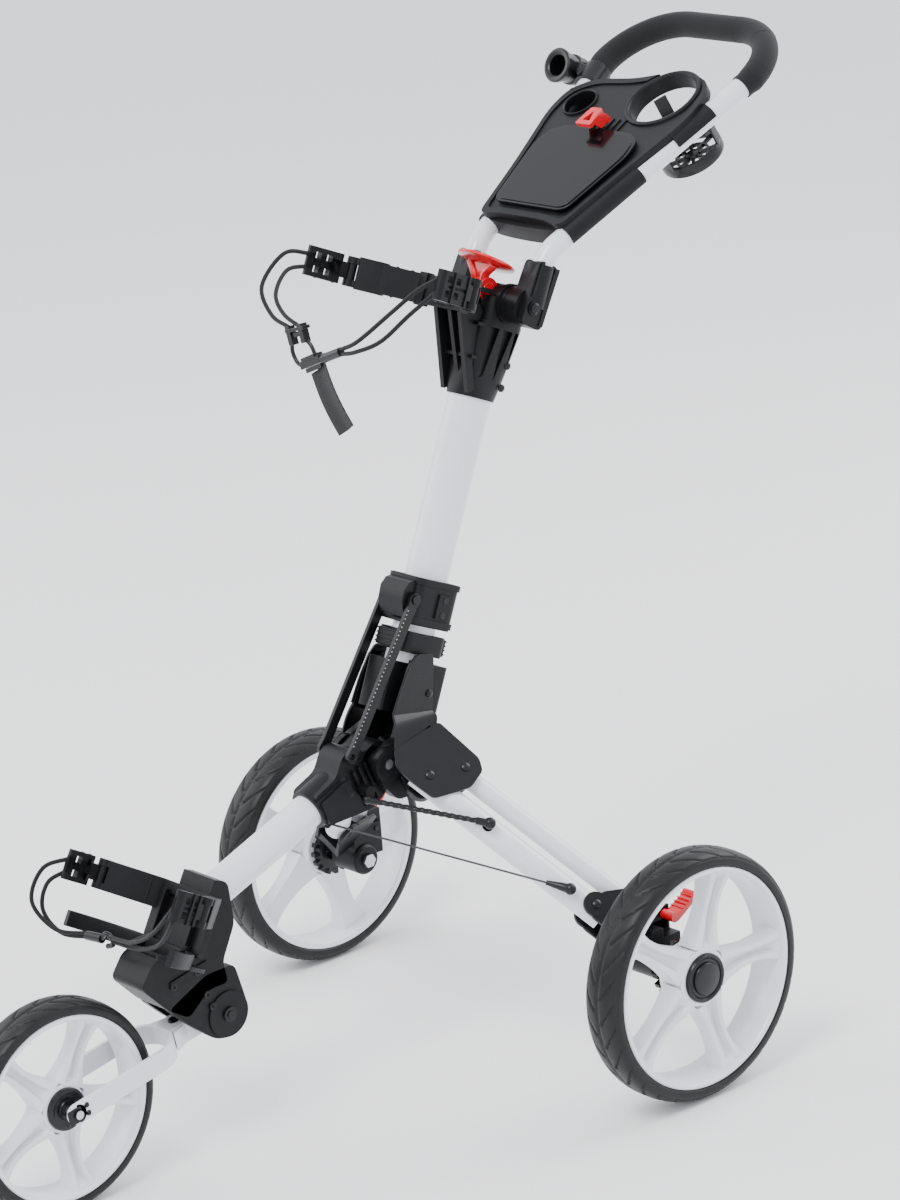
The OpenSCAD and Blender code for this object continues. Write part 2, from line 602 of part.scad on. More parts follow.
// ---------- handle ----------
tube_path = [[handle_half_low, 14, 2.5], [handle_half_low, tube_start, tube_lift],
    [handle_half_high, tube_start + handle_len - bend_r, tube_lift]];
module handle_bend(d) for (s = [-1, 1]) mirror([s > 0 ? 0 : 1, 0, 0])
    translate([handle_half_high - bend_r, tube_start + handle_len - bend_r, tube_lift])
        rotate_extrude(angle = 90, $fn = 72) translate([bend_r, 0]) circle(d = d);
module handle_bar(d, inset = 0) translate([0, tube_start + handle_len, tube_lift])
    cross_pin(d, 2 * (handle_half_high - bend_r));
module handle_tube() color("white") on_handle() {
    handle_bend(handle_d);
    handle_bar(handle_d);
    both_sides() {
        rod(tube_path[0], tube_path[1], handle_d);
        rod(tube_path[1], tube_path[2], handle_d);
        translate(tube_path[1]) sphere(d = handle_d + joint_swell);
        translate(tube_path[2]) sphere(d = handle_d + joint_swell);
    }
}
module handle_grip() color("#1e1e20") on_handle() difference() {
    union() {
        handle_bend(grip_d);
        handle_bar(grip_d);
    }
    handle_bend(handle_d + 2 * joint_swell);
    handle_bar(handle_d + 2 * joint_swell);
}
// Knuckles: a casting on each handle tube, hinged outside the column's head
module handle_knuckles() color("#1c1c1e") on_handle() both_sides() difference() {
    union() {
        translate([54.5, 0, 0]) cross_pin(50, 28);
        rod([handle_half_low, 4, -3.5], [handle_half_low, 44, 24.7], 31);
        side_plate(28, [[-22, -8], [-4, -25], [20, -12], [44, 8], [30, 34], [0, 24], [-18, 16]], 54.5);
    }
    rod(tube_path[0] - (tube_path[1] - tube_path[0]) * 0.02, tube_path[1], handle_d + 2 * fit);
    cross_pin(10 + 2 * fit, 200);
    cross_pin(120, 2 * 40.4);
}
module hinge_bolt() color("silver") on_handle() {
    cross_pin(10, 150);
    for (s = [-1, 1]) disc_x(19, 5, s * 75.6);
}
// Red cam lever that locks the hinge: a wing on a forked stem
module lock_lever() color("red") on_column() translate([0, -22, head_z + 10]) {
    disc_x(28, 25);
    side_plate(18, [[-12, 0], [-34, 27], [-24, 34], [-4, 25], [12, 0]]);
    translate([0, -24, 31]) rotate([-24, 0, 0]) linear_extrude(9, center = true) difference() {
        translate([0, -8]) circle(r = 44, $fn = 96);
        translate([0, -44]) square([120, 64], center = true);
    }
}

// Console tray between the handle tubes, with the cup opening, ball pocket and lid recess
tray_z = tube_lift + 8;
tray_t = 12;
cup_at = [46, tube_start + 250];
pocket_at = [-72, tube_start + 226];
module tray_plan() polygon([[-68, 82], [-40, 88], [40, 88], [68, 82], [86, 170], [108, 262], [110, 300],
    [96, 336], [60, 352], [20, 346], [-20, 330], [-80, 322], [-108, 300], [-110, 262], [-86, 170]]);
lid_y = [tube_start + 46, tube_start + 178];
module console_tray() color("#1c1c1e") on_handle() difference() {
    union() {
        translate([0, 0, tray_z]) linear_extrude(tray_t) tray_plan();
        for (s = [-1, 1]) mirror([s > 0 ? 0 : 1, 0, 0]) tube_sleeve();
        translate([cup_at[0], cup_at[1], tray_z - 8]) cylinder(d = cup_d + 14, h = 20);
        translate([pocket_at[0], pocket_at[1], tray_z - 18]) cylinder(d = 46, h = 30);
        translate([0, (lid_y[0] + lid_y[1]) / 2, tray_z - 12]) cube([100, lid_y[1] - lid_y[0], 28], center = true);
    }
    for (s = [-1, 1]) mirror([s > 0 ? 0 : 1, 0, 0]) rod(tube_path[1], tube_path[2], handle_d + 2 * fit);
    translate([cup_at[0], cup_at[1], 0]) cylinder(d = cup_d, h = 100);
    translate([pocket_at[0], pocket_at[1], tray_z - 14]) cylinder(d = 40, h = 60);
    translate([0, (lid_y[0] + lid_y[1]) / 2, tray_z + 2]) cube([88, lid_y[1] - lid_y[0] - 12, 48], center = true);
}
module tube_sleeve() {
    a = tube_path[1] + (tube_path[2] - tube_path[1]) * 0.12;
    b = tube_path[1] + (tube_path[2] - tube_path[1]) * 0.44;
    c = tube_path[1] + (tube_path[2] - tube_path[1]) * 0.62;
    e = tube_path[1] + (tube_path[2] - tube_path[1]) * 0.8;
    rod(a, b, handle_d + 8);
    rod(c, e, handle_d + 8);
}
lid_z = tray_z + tray_t + 0.4;
module console_lid() color("#0c0c0e") on_handle() difference() {
    union() {
        translate([0, 0, lid_z]) linear_extrude(14) polygon([[-46, lid_y[0] + 4], [46, lid_y[0] + 4],
            [66, lid_y[1] - 30], [60, lid_y[1] - 8], [46, lid_y[1]], [-46, lid_y[1]], [-60, lid_y[1] - 8],
            [-66, lid_y[1] - 30]]);
        translate([0, lid_y[0] + 4, lid_z + 4]) cross_pin(8, 80);
    }
    translate([0, (lid_y[0] + lid_y[1]) / 2 + 2, lid_z + 5]) cube([80, lid_y[1] - lid_y[0] - 20, 12], center = true);
}
// Spring latch that holds the lid's free edge
latch_at = [-4, tube_start + 190, lid_z + 3];
module lid_latch() color("red") on_handle() translate(latch_at) {
    side_plate(24, [[-8, 1.5], [8, 1.5], [10, 8], [2, 20], [-18, 20], [-22, 14.5], [-8, 13]]);
}
// Cup holder's ribbed floor on its straps
module cup_base() color("#161618") on_handle() translate([cup_at[0], cup_at[1], tray_z]) {
    translate([0, 0, -78]) difference() {
        cylinder(d = 78, h = 16);
        translate([0, 0, -1]) cylinder(d = 70, h = 18);
    }
    translate([0, 0, -78]) for (i = [0:2]) rotate(i * 60) translate([0, 0, 2.5]) cube([72, 7, 5], center = true);
    for (i = [0, 1, 2]) rotate(i * 120 + 30) translate([37, 0, -78]) translate([-1.5, -8, 0]) cube([3, 16, 69.6]);
}
// Socket for an umbrella's shaft, clamped to the handle's right tube
socket_at = [-144, tube_start + 284, tube_lift + 14];
socket_d = 26;
module on_socket() translate(socket_at) rotate([38, 0, 0]) children();
module umbrella_socket() color("#161618") on_handle() difference() {
    union() {
        on_socket() cylinder(d = 34, h = 34, center = true);
        on_socket() translate([0, 0, 12]) cylinder(d1 = 34, d2 = 42, h = 10);
        other_side() rod(tube_path[1] + (tube_path[2] - tube_path[1]) * 0.86,
            tube_path[1] + (tube_path[2] - tube_path[1]) * 0.95, handle_d + 9);
    }
    on_socket() translate([0, 0, -12]) cylinder(d = socket_d, h = 50);
    other_side() rod(tube_path[1], tube_path[2], handle_d + 2 * fit);
}

// ---------- bag bungees ----------
// Smooth tube through hand-placed points: 8 sides, rings at the points
module cord(points, d) {
    n = len(points);
    sides = 8;
    function heading(i) = let (v = points[min(i + 1, n - 1)] - points[max(i - 1, 0)]) v / norm(v);
    function across(i) = let (v = cross(heading(i), [0.31, 0.17, 0.93])) v / norm(v);
    function ring(i) = let (a = across(i), b = cross(heading(i), a))
        [for (k = [0:sides - 1]) points[i] + d / 2 * (a * cos(360 * k / sides) + b * sin(360 * k / sides))];
    polyhedron([for (i = [0:n - 1]) each ring(i)], concat(
        [[for (k = [0:sides - 1]) k]],
        [for (i = [0:n - 2], k = [0:sides - 1]) [i * sides + k, (i + 1) * sides + k,
            (i + 1) * sides + (k + 1) % sides, i * sides + (k + 1) % sides]],
        [[for (k = [sides - 1:-1:0]) (n - 1) * sides + k]]));
}
function placed(points) = [for (p = points) at(p)];
cord_d = 5;
upper_route_a = [[-104, -113, 946], [-114, -144, 938], [-110, -168, 912], [-92, -178, 880], [-56, -178, 860]];
upper_route_b = [[104, -113, 931], [90, -136, 905], [60, -158, 880], [20, -172, 862], [-4, -177, 852]];
lower_route_a = [[-96, -530, 308], [-104, -548, 290], [-96, -558, 268], [-66, -540, 266], [-40, -520, 270]];
lower_route_b = [[96, -528, 296], [70, -524, 276], [30, -518, 268], [-10, -516, 270]];
module upper_bungee() color("#202022") for (route = [upper_route_a, upper_route_b]) cord(placed(route), cord_d);
module lower_bungee() color("#202022") for (route = [lower_route_a, lower_route_b]) cord(placed(route), cord_d);
module bungee_fittings() color("#202022") translate(at([-30, -178, 854])) cube([64, 10, 24], center = true);

column_tube();
hub_casting();
leg_brackets();
leg_pins();
upper_casting();
upper_cradle();
collar();
link_bars();
latch_ring();
arm_knuckle();
arm_tube();
arm_pins();
front_block();
block_bolts();
lower_cradle();
upper_left_ear();
upper_right_ear();
lower_left_ear();
lower_right_ear();
front_fork();
front_axle();
front_rim();
front_tyre();
front_bearings();
front_hub_caps();
left_leg_tube();
left_rear_tube();
left_carrier();
left_axle_and_pins();
left_brake_pedal();
left_rim();
left_tyre();
left_hub();
left_bearings();
left_stay_rod();
left_wire();
right_leg_tube();
right_rear_tube();
right_carrier();
right_axle_and_pins();
right_brake_pedal();
right_rim();
right_tyre();
right_hub();
right_bearings();
right_stay_rod();
right_wire();
handle_tube();
handle_grip();
handle_knuckles();
hinge_bolt();
lock_lever();
console_tray();
console_lid();
lid_latch();
cup_base();
umbrella_socket();
upper_bungee();
lower_bungee();
bungee_fittings();
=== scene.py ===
import bpy
import bmesh
import json
import math
from mathutils import Matrix, Vector


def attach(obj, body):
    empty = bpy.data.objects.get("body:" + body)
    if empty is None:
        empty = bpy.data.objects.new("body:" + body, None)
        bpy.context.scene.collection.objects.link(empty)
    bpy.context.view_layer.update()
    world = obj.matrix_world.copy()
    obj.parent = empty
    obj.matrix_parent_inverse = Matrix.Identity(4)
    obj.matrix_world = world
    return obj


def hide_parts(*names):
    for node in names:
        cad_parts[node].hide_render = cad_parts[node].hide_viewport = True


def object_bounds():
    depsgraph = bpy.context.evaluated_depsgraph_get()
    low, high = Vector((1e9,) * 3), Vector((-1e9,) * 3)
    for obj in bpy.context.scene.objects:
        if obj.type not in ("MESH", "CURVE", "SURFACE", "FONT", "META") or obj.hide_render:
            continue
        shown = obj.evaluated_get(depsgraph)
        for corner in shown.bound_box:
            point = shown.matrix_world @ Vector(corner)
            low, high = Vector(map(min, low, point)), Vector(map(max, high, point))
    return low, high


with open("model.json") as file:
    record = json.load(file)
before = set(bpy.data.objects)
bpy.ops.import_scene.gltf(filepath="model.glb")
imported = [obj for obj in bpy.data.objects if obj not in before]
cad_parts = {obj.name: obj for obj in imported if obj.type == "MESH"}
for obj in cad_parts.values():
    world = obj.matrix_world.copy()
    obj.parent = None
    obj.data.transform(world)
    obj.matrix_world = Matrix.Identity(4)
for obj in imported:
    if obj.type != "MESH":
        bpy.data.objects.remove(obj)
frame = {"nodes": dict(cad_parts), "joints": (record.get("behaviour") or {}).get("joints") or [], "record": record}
START_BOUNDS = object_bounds()
MM = 0.001
X, Y, Z = Vector((1, 0, 0)), Vector((0, 1, 0)), Vector((0, 0, 1))
JOINTS = {j["name"]: j for j in frame["joints"]}


def joint_at(name):
    return Vector(JOINTS[name]["pos_m"])


def joint_axis(name):
    return Vector(JOINTS[name]["axis"]).normalized()


def axes(origin, x, y, z):
    """Frame for shapes drawn in millimetres."""
    m = Matrix((x, y, z)).transposed().to_4x4()
    m.translation = origin
    return m @ Matrix.Scale(MM, 4)


# ---------- camera, stage and light ----------
AZIMUTH, ELEVATION, ROLL = (math.radians(a) for a in (50.09, 17.46, -4.55))
CAMERA_AT = Vector((3.447, -2.763, 1.947))
LENS = 123.3


def add_camera():
    right = Vector((math.cos(AZIMUTH), math.sin(AZIMUTH), 0))
    ahead = Vector((-math.sin(AZIMUTH) * math.cos(ELEVATION), math.cos(AZIMUTH) * math.cos(ELEVATION),
        -math.sin(ELEVATION)))
    up = right.cross(ahead)
    r = right * math.cos(ROLL) + up * math.sin(ROLL)
    data = bpy.data.cameras.new("camera")
    data.sensor_fit = "VERTICAL"
    data.sensor_height = 36
    data.lens = LENS
    cam = bpy.data.objects.new("camera", data)
    bpy.context.scene.collection.objects.link(cam)
    cam.matrix_world = Matrix((r, r.cross(ahead), -ahead)).transposed().to_4x4()
    cam.location = CAMERA_AT
    bpy.context.scene.camera = cam


def add_light(name, at, size, power):
    data = bpy.data.lights.new(name, "AREA")
    data.size, data.energy = size, power
    lamp = bpy.data.objects.new(name, data)
    bpy.context.scene.collection.objects.link(lamp)
    lamp.location = at
    lamp.rotation_euler = (Vector((0, 0, 0.5)) - Vector(at)).to_track_quat("-Z", "Y").to_euler()


# ---------- materials ----------
def node(tree, kind, **values):
    n = tree.nodes.new(kind)
    for key, value in values.items():
        if key in n.inputs:
            n.inputs[key].default_value = value
        else:
            setattr(n, key, value)
    return n


def material(name, color, rough, metallic=0.0, grain=900.0, bump=0.1, depth=0.0002, wear=0.15, coat=0.0,
        pattern="noise", sheen=0.0, gleam=0.5):
    m = bpy.data.materials.new(name)
    m.use_nodes = True
    t = m.node_tree
    link = t.links.new
    shader = t.nodes["Principled BSDF"]
    shader.inputs["Metallic"].default_value = metallic
    shader.inputs["Coat Weight"].default_value = coat
    shader.inputs["Coat Roughness"].default_value = 0.06
    shader.inputs["Sheen Weight"].default_value = sheen
    shader.inputs["Specular IOR Level"].default_value = gleam
    where = node(t, "ShaderNodeTexCoord")
    large = node(t, "ShaderNodeTexNoise", Scale=9.0, Detail=6.0, Roughness=0.6)
    link(where.outputs["Object"], large.inputs["Vector"])
    spread = node(t, "ShaderNodeMapRange")
    spread.inputs["To Min"].default_value = rough[0]
    spread.inputs["To Max"].default_value = rough[1]
    link(large.outputs["Fac"], spread.inputs["Value"])
    link(spread.outputs["Result"], shader.inputs["Roughness"])
    scuffs = node(t, "ShaderNodeTexNoise", Scale=55.0, Detail=8.0, Roughness=0.7)
    link(where.outputs["Object"], scuffs.inputs["Vector"])
    ramp = node(t, "ShaderNodeValToRGB")
    ramp.color_ramp.elements[0].position = 0.35
    ramp.color_ramp.elements[1].position = 0.72
    ramp.color_ramp.elements[0].color = (*color, 1)
    ramp.color_ramp.elements[1].color = (*[c * (1 - wear) + (0.02 if max(color) < 0.2 else 0.0) * wear
        for c in color], 1)
    link(scuffs.outputs["Fac"], ramp.inputs["Fac"])
    link(ramp.outputs["Color"], shader.inputs["Base Color"])
    if pattern == "noise":
        height = node(t, "ShaderNodeTexNoise", Scale=grain, Detail=3.0)
        out = height.outputs["Fac"]
    elif pattern == "cells":
        height = node(t, "ShaderNodeTexVoronoi", Scale=grain)
        out = height.outputs["Distance"]
    else:
        height = node(t, "ShaderNodeTexWave", Scale=grain, Distortion=1.5)
        height.bands_direction = "DIAGONAL"
        out = height.outputs["Fac"]
    link(where.outputs["Object"], height.inputs["Vector"])
    relief = node(t, "ShaderNodeBump", Strength=bump, Distance=depth)
    link(out, relief.inputs["Height"])
    link(relief.outputs["Normal"], shader.inputs["Normal"])
    return m


MATERIALS = {
    "white_tube": material("white_tube", (0.70, 0.71, 0.75), (0.16, 0.3), bump=0.05, wear=0.03, coat=0.35),
    "black_casting": material("black_casting", (0.004, 0.004, 0.005), (0.34, 0.48), grain=1500, bump=0.35,
                              depth=0.0003, gleam=0.2),
    "black_steel": material("black_steel", (0.005, 0.005, 0.006), (0.22, 0.36), bump=0.15, coat=0.06,
                            gleam=0.25),
    "white_rim": material("white_rim", (0.72, 0.73, 0.77), (0.22, 0.36), bump=0.04, wear=0.03, coat=0.2),
    "tyre": material("tyre", (0.006, 0.006, 0.006), (0.34, 0.5), grain=1200, bump=0.2, wear=0.4, gleam=0.25),
    "red": material("red", (0.62, 0.004, 0.012), (0.16, 0.28), bump=0.05, wear=0.1, coat=0.3),
    "steel": material("steel", (0.55, 0.55, 0.57), (0.25, 0.42), metallic=1.0, grain=700, pattern="bands",
                      bump=0.08),
    "gloss_black": material("gloss_black", (0.002, 0.002, 0.003), (0.12, 0.2), bump=0.02, wear=0.05, coat=0.1,
                            gleam=0.2),
    "foam": material("foam", (0.008, 0.008, 0.009), (0.75, 0.9), grain=900, pattern="cells", bump=0.5,
                     depth=0.0004, sheen=0.08, gleam=0.2),
    "cord": material("cord", (0.006, 0.006, 0.007), (0.55, 0.75), grain=260, pattern="bands", bump=0.8,
                     depth=0.0006, sheen=0.08, gleam=0.25),
    "wire": material("wire", (0.06, 0.06, 0.065), (0.3, 0.45), metallic=0.8, grain=420, pattern="bands",
                     bump=0.6),
    "hub_black": material("hub_black", (0.004, 0.004, 0.005), (0.22, 0.36), grain=1400, bump=0.12, coat=0.06,
                          gleam=0.3),
}

# ---------- sizes in millimetres, and the frames that shapes are drawn in ----------
UP = joint_axis("collar_slide")
HINGE = joint_at("handle_fold")
HEAD_Z = 330.6
BAND_Z = 324
LEVER_Y = -22
COLUMN_BORE = (44.3, 52.3)
LINK_PIVOT = (-32.2, -19.8)
EAR_X, EAR_Y = 104, -128
BASE_EAR_X, BASE_EAR_Y, BASE_EAR_Z = 92, -62, 20
EAR_ROOM = 9.4
ARM_BORE_R, ARM_TUBE_Z = 20.1, -2.4
LEG_LENGTH, LEG_PINS = 237, ((0, 0), (26, 36))
BRACKET_Z = 15.4
REAR_WHEEL_R = 146
FORK_PIVOT = (-425, 160)
COLUMN = axes(HINGE - UP * HEAD_Z * MM, X, UP.cross(X), UP)
DROOP = Matrix.Rotation(math.radians(20.6), 3, "X")
ARM = axes(joint_at("frame_fold"), X, DROOP @ Y, DROOP @ Z)
LEG_X = (joint_at("left_carrier_level") - joint_at("left_leg_fold")).normalized()
LEG_Z = -joint_axis("left_leg_fold")
LEG = axes(joint_at("left_leg_fold"), LEG_X, LEG_Z.cross(LEG_X), LEG_Z)
FORK_LEN = (joint_at("fork_fold") - joint_at("front_wheel_spin")).length / MM
FORK_Y = (joint_at("fork_fold") - joint_at("front_wheel_spin")).normalized()
FORK = axes(joint_at("front_wheel_spin"), X, FORK_Y, X.cross(FORK_Y))
RISE = Matrix.Rotation(math.radians(29.5), 3, "X")
HANDLE = axes(HINGE, X, RISE @ Y, RISE @ Z)
BAG_UP = -joint_axis("lower_left_ear_fold")
BAG_Y = BAG_UP.cross(X)
CRADLE = axes(joint_at("lower_left_ear_fold") - (BASE_EAR_X * X + BASE_EAR_Y * BAG_Y + BASE_EAR_Z
    * BAG_UP) * MM, X, BAG_Y, BAG_UP)
GROUND = axes(Vector((0, joint_at("left_wheel_spin").y, 0)), X, Y, Z)
REAR_WHEEL = axes(joint_at("left_wheel_spin"), -Z, Y, X)
FRONT_WHEEL = axes(joint_at("front_wheel_spin"), -Z, Y, X)
MIRROR = Matrix.Diagonal((-1, 1, 1, 1))


# ---------- shapes, in millimetres: (points, faces) ----------
SIDES = (-1, 1)


def prism(outline, lo, hi, along="z"):
    n = len(outline)
    place = {"z": lambda a, b, h: (a, b, h), "x": lambda a, b, h: (h, a, b), "y": lambda a, b,
        h: (a, h, b)}[along]
    points = [place(a, b, h) for h in (lo, hi) for a, b in outline]
    faces = [tuple(range(n)), tuple(range(2 * n - 1, n - 1, -1))]
    return points, faces + [(i, (i + 1) % n, n + (i + 1) % n, n + i) for i in range(n)]


def arc_point(a, b, c, t):
    """Point of a curve that leaves a toward b and comes to c."""
    return a * (1 - t) ** 2 + b * 2 * t * (1 - t) + c * t * t


def soft(outline, radius, steps=5):
    """Outline with its corners rounded."""
    out = []
    n = len(outline)
    for i, p in enumerate(outline):
        p, a, b = Vector(p), Vector(outline[i - 1]), Vector(outline[(i + 1) % n])
        u, v = (a - p), (b - p)
        r = min(radius, u.length * 0.45, v.length * 0.45)
        start, end = p + u.normalized() * r, p + v.normalized() * r
        for k in range(steps + 1):
            t = k / steps
            out.append(tuple(arc_point(start, p, end, t)))
    return out


def slab(outline, radius, lo, hi, along="z"):
    return prism(soft(outline, radius), lo, hi, along)


def circle(r, n=48, at=(0, 0), turn=360, start=0):
    full = turn == 360
    return [(at[0] + r * math.cos(math.radians(start + turn * k / (n if full else n - 1))),
        at[1] + r * math.sin(math.radians(start + turn * k / (n if full else n - 1)))) for k in range(n)]


def oval(w, t):
    n = 48
    h = (t - w) / 2
    return [(w / 2 * math.cos(a), w / 2 * math.sin(a) + (h if math.sin(a) >= 0 else -h))
        for a in (2 * math.pi * (k + 0.5) / n for k in range(n))]


def span(side, a, b):
    """From a to b on one side of the middle, with the low end first."""
    return sorted((side * a, side * b))


def box(size, at=(0, 0, 0)):
    x, y, z = size[0] / 2, size[1] / 2, size[2] / 2
    points, faces = prism([(-x, -y), (x, -y), (x, y), (-x, y)], -z, z)
    return [(p[0] + at[0], p[1] + at[1], p[2] + at[2]) for p in points], faces


def disc(r, lo, hi, at=(0, 0), along="z", n=48):
    return prism(circle(r, n, at), lo, hi, along)


def lathe(profile, n=96):
    """Profile of (radius, height) turned round z, closed where it starts off the axis."""
    m = len(profile)
    points = []
    for k in range(n):
        a = 2 * math.pi * k / n
        for r, z in profile:
            points.append((r * math.cos(a), r * math.sin(a), z))
    faces = wrapped_faces(m, n)
    if profile[0][0] == 0:
        faces = [f for k, f in enumerate(faces) if k % m < m - 1]
    return points, faces


def ring_faces(m, n):
    """Faces between n rings of m points each."""
    return [(i * m + k, i * m + (k + 1) % m, (i + 1) * m + (k + 1) % m, (i + 1) * m + k)
        for i in range(n - 1) for k in range(m)]


def wrapped_faces(m, n):
    """Faces round n rings of m points, where the last ring meets the first."""
    return [(k * m + i, (k + 1) % n * m + i, (k + 1) % n * m + (i + 1) % m, k * m + (i + 1) % m)
        for k in range(n) for i in range(m)]


def sweep(path, section, up=None):
    """Section of (side, up) offsets carried along a path; up keeps it level, or it's carried without twist.
    section may be a function of the place along the path, 0 to 1."""
    path = [Vector(p) for p in path]
    n = len(path)
    points = []
    side = None
    for i, p in enumerate(path):
        ahead = (path[min(i + 1, n - 1)] - path[max(i - 1, 0)]).normalized()
        if up is not None:
            side = ahead.cross(Vector(up)).normalized()
        elif side is None:
            side = ahead.orthogonal().normalized()
        else:
            side = (side - ahead * side.dot(ahead)).normalized()
        over = side.cross(ahead)
        ring = section(i / (n - 1)) if callable(section) else section
        points += [tuple(p + side * a + over * b) for a, b in ring]
    m = len(ring)
    ends = [tuple(range(m)), tuple(range(n * m - 1, (n - 1) * m - 1, -1))]
    return points, ends + ring_faces(m, n)


def curve(path, steps=6):
    """Smooth path through the points."""
    p = [Vector(q) for q in path]
    p = [2 * p[0] - p[1]] + p + [2 * p[-1] - p[-2]]
    out = []
    for i in range(1, len(p) - 2):
        for k in range(steps):
            t = k / steps
            out.append(0.5 * (2 * p[i] + (p[i + 1] - p[i - 1]) * t
                + (2 * p[i - 1] - 5 * p[i] + 4 * p[i + 1] - p[i + 2]) * t * t
                + (3 * p[i] - p[i - 1] - 3 * p[i + 1] + p[i + 2]) * t ** 3))
    return out + [p[-2]]


def tube(path, r, n=20):
    return sweep(path, r if callable(r) else circle(r, n))


def mirrored(p):
    return Vector((-p.x, p.y, p.z))


def pin(a, b, r, n=28):
    return tube([a, b], r, n)


def ball(at, r, n=24):
    return moved(lathe([(r * math.sin(math.pi * k / 16), -r * math.cos(math.pi * k / 16))
        for k in range(17)], n), at)


def moved(shape, at=(0, 0, 0), turn=(0, 0, 0)):
    m = Matrix.Translation(at)
    for axis, angle in zip("XYZ", turn):
        m = m @ Matrix.Rotation(math.radians(angle), 4, axis)
    return placed(shape, m)


def placed(shape, m):
    return [tuple(m @ Vector(p)) for p in shape[0]], shape[1]


def flipped(shape):
    return [(-p[0], p[1], p[2]) for p in shape[0]], [f[::-1] for f in shape[1]]


def both_sides(shapes):
    return [s for shape in shapes for s in (shape, flipped(shape))]


def new_mesh(shapes, at=None):
    bm = bmesh.new()
    for points, faces in shapes:
        part = bmesh.new()
        verts = [part.verts.new(p) for p in points]
        for f in faces:
            part.faces.new([verts[i] for i in f])
        bmesh.ops.remove_doubles(part, verts=part.verts, dist=0.001)
        bmesh.ops.recalc_face_normals(part, faces=part.faces)
        mesh = bpy.data.meshes.new("part")
        part.to_mesh(mesh)
        part.free()
        bm.from_mesh(mesh)
        bpy.data.meshes.remove(mesh)
    mesh = bpy.data.meshes.new("mesh")
    if at is not None:
        bm.transform(at)
        if at.determinant() < 0:
            bmesh.ops.reverse_faces(bm, faces=bm.faces)
    bm.to_mesh(mesh)
    bm.free()
    return mesh


def carve(shape, *cutters):
    """Shape with the cutters taken out of it."""
    made = []
    for s in (shape, *cutters):
        o = bpy.data.objects.new("carve", new_mesh([s]))
        bpy.context.scene.collection.objects.link(o)
        made.append(o)
    for o in made[1:]:
        mod = made[0].modifiers.new("cut", "BOOLEAN")
        mod.object = o
        mod.solver = "EXACT"
    got = bpy.data.meshes.new_from_object(made[0].evaluated_get(bpy.context.evaluated_depsgraph_get()))
    out = [tuple(v.co) for v in got.vertices], [tuple(f.vertices) for f in got.polygons]
    for o in made:
        bpy.data.objects.remove(o)
    return out


def piece(name, body, slot, shapes, at, bevel=0.0, replaces=(), right=False, steps=2):
    obj = bpy.data.objects.new(name, new_mesh(shapes, MIRROR @ at if right else at))
    bpy.context.scene.collection.objects.link(obj)
    obj.data.materials.append(MATERIALS[slot])
    obj.data.shade_smooth()
    if bevel:
        mod = obj.modifiers.new("bevel", "BEVEL")
        mod.width = bevel * MM
        mod.segments = steps
        mod.limit_method = "ANGLE"
        mod.angle_limit = math.radians(32)
        mod.harden_normals = True
    else:
        obj.data.set_sharp_from_angle(angle=math.radians(38))
    if body:
        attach(obj, body)
    if replaces:
        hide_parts(*replaces)
    return obj


def pair(name, body, slot, shapes, at, bevel=0.0, replaces=()):
    """The same piece on both sides; {} in a name stands for left or right."""
    return [piece(name.format(s), body.format(s), slot, shapes, at, bevel,
        [r.format(s) for r in replaces], s == "right") for s in ("left", "right")]


# ---------- wheels ----------
def ease(a, b, v):
    t = min(1, max(0, (v - a) / (b - a)))
    return t * t * (3 - 2 * t)


def spoke(angle, r0, r1, narrow, top, low):
    """Twin-ribbed spoke: wide at the hub, narrow in the middle and flared at the barrel."""
    rows = []
    steps = 18
    for i in range(steps + 1):
        t = i / steps
        r = r0 + (r1 - r0) * t
        w = narrow + 20 * (1 - t) ** 3 + 17 * t ** 6
        z1 = top - 5 * math.sin(math.pi * t) + 2 * t ** 4
        groove = 8.5 * ease(0.0, 0.14, t) * (1 - ease(0.86, 1.0, t))
        rib = w * 0.27
        half = [(w / 2, low + 3 * math.sin(math.pi * t)), (w / 2, z1 - 3), (w / 2 - 1, z1 - 0.8),
            (w / 2 - 3, z1), (w / 2 - rib, z1 - 0.3), (w / 2 - rib - 1.5, z1 - groove * 0.5),
            (w / 2 - rib - 3, z1 - groove)]
        rows.append([(r, s, z) for s, z in half] + [(r, -s, z) for s, z in reversed(half)])
    n = len(rows[0])
    c, s = math.cos(angle), math.sin(angle)
    points = [(p[0] * c - p[1] * s, p[0] * s + p[1] * c, p[2]) for row in rows for p in row]
    ends = [tuple(range(n)), tuple(range(len(points) - 1, len(points) - n - 1, -1))]
    return points, ends + ring_faces(n, steps + 1)


def rim(r, w, hub, bore, narrow, top, turn):
    h = w / 2
    barrel = [(r, -h), (r, h - 0.5), (r - 1.5, h + 0.8), (r - 4.5, h + 0.8), (r - 6, h - 0.6),
        (r - 6.8, h - 4), (r - 7.2, h - 9), (r - 6.4, 4), (r - 6, -5), (r - 7, -h + 6),
        (r - 7.5, -h + 2), (r - 6, -h)]
    middle = [(bore, -18), (hub + 1, -18), (hub + 2, -15), (hub + 3, top - 5), (hub + 1.5, top - 1.5),
        (hub - 2, top), (hub - 4, top), (bore, top)]
    return [lathe(barrel, 144), lathe(middle, 72)] + [spoke(math.radians(turn + 72 * i), hub - 1,
        r - 5.5, narrow, top - 1, -9) for i in range(5)]


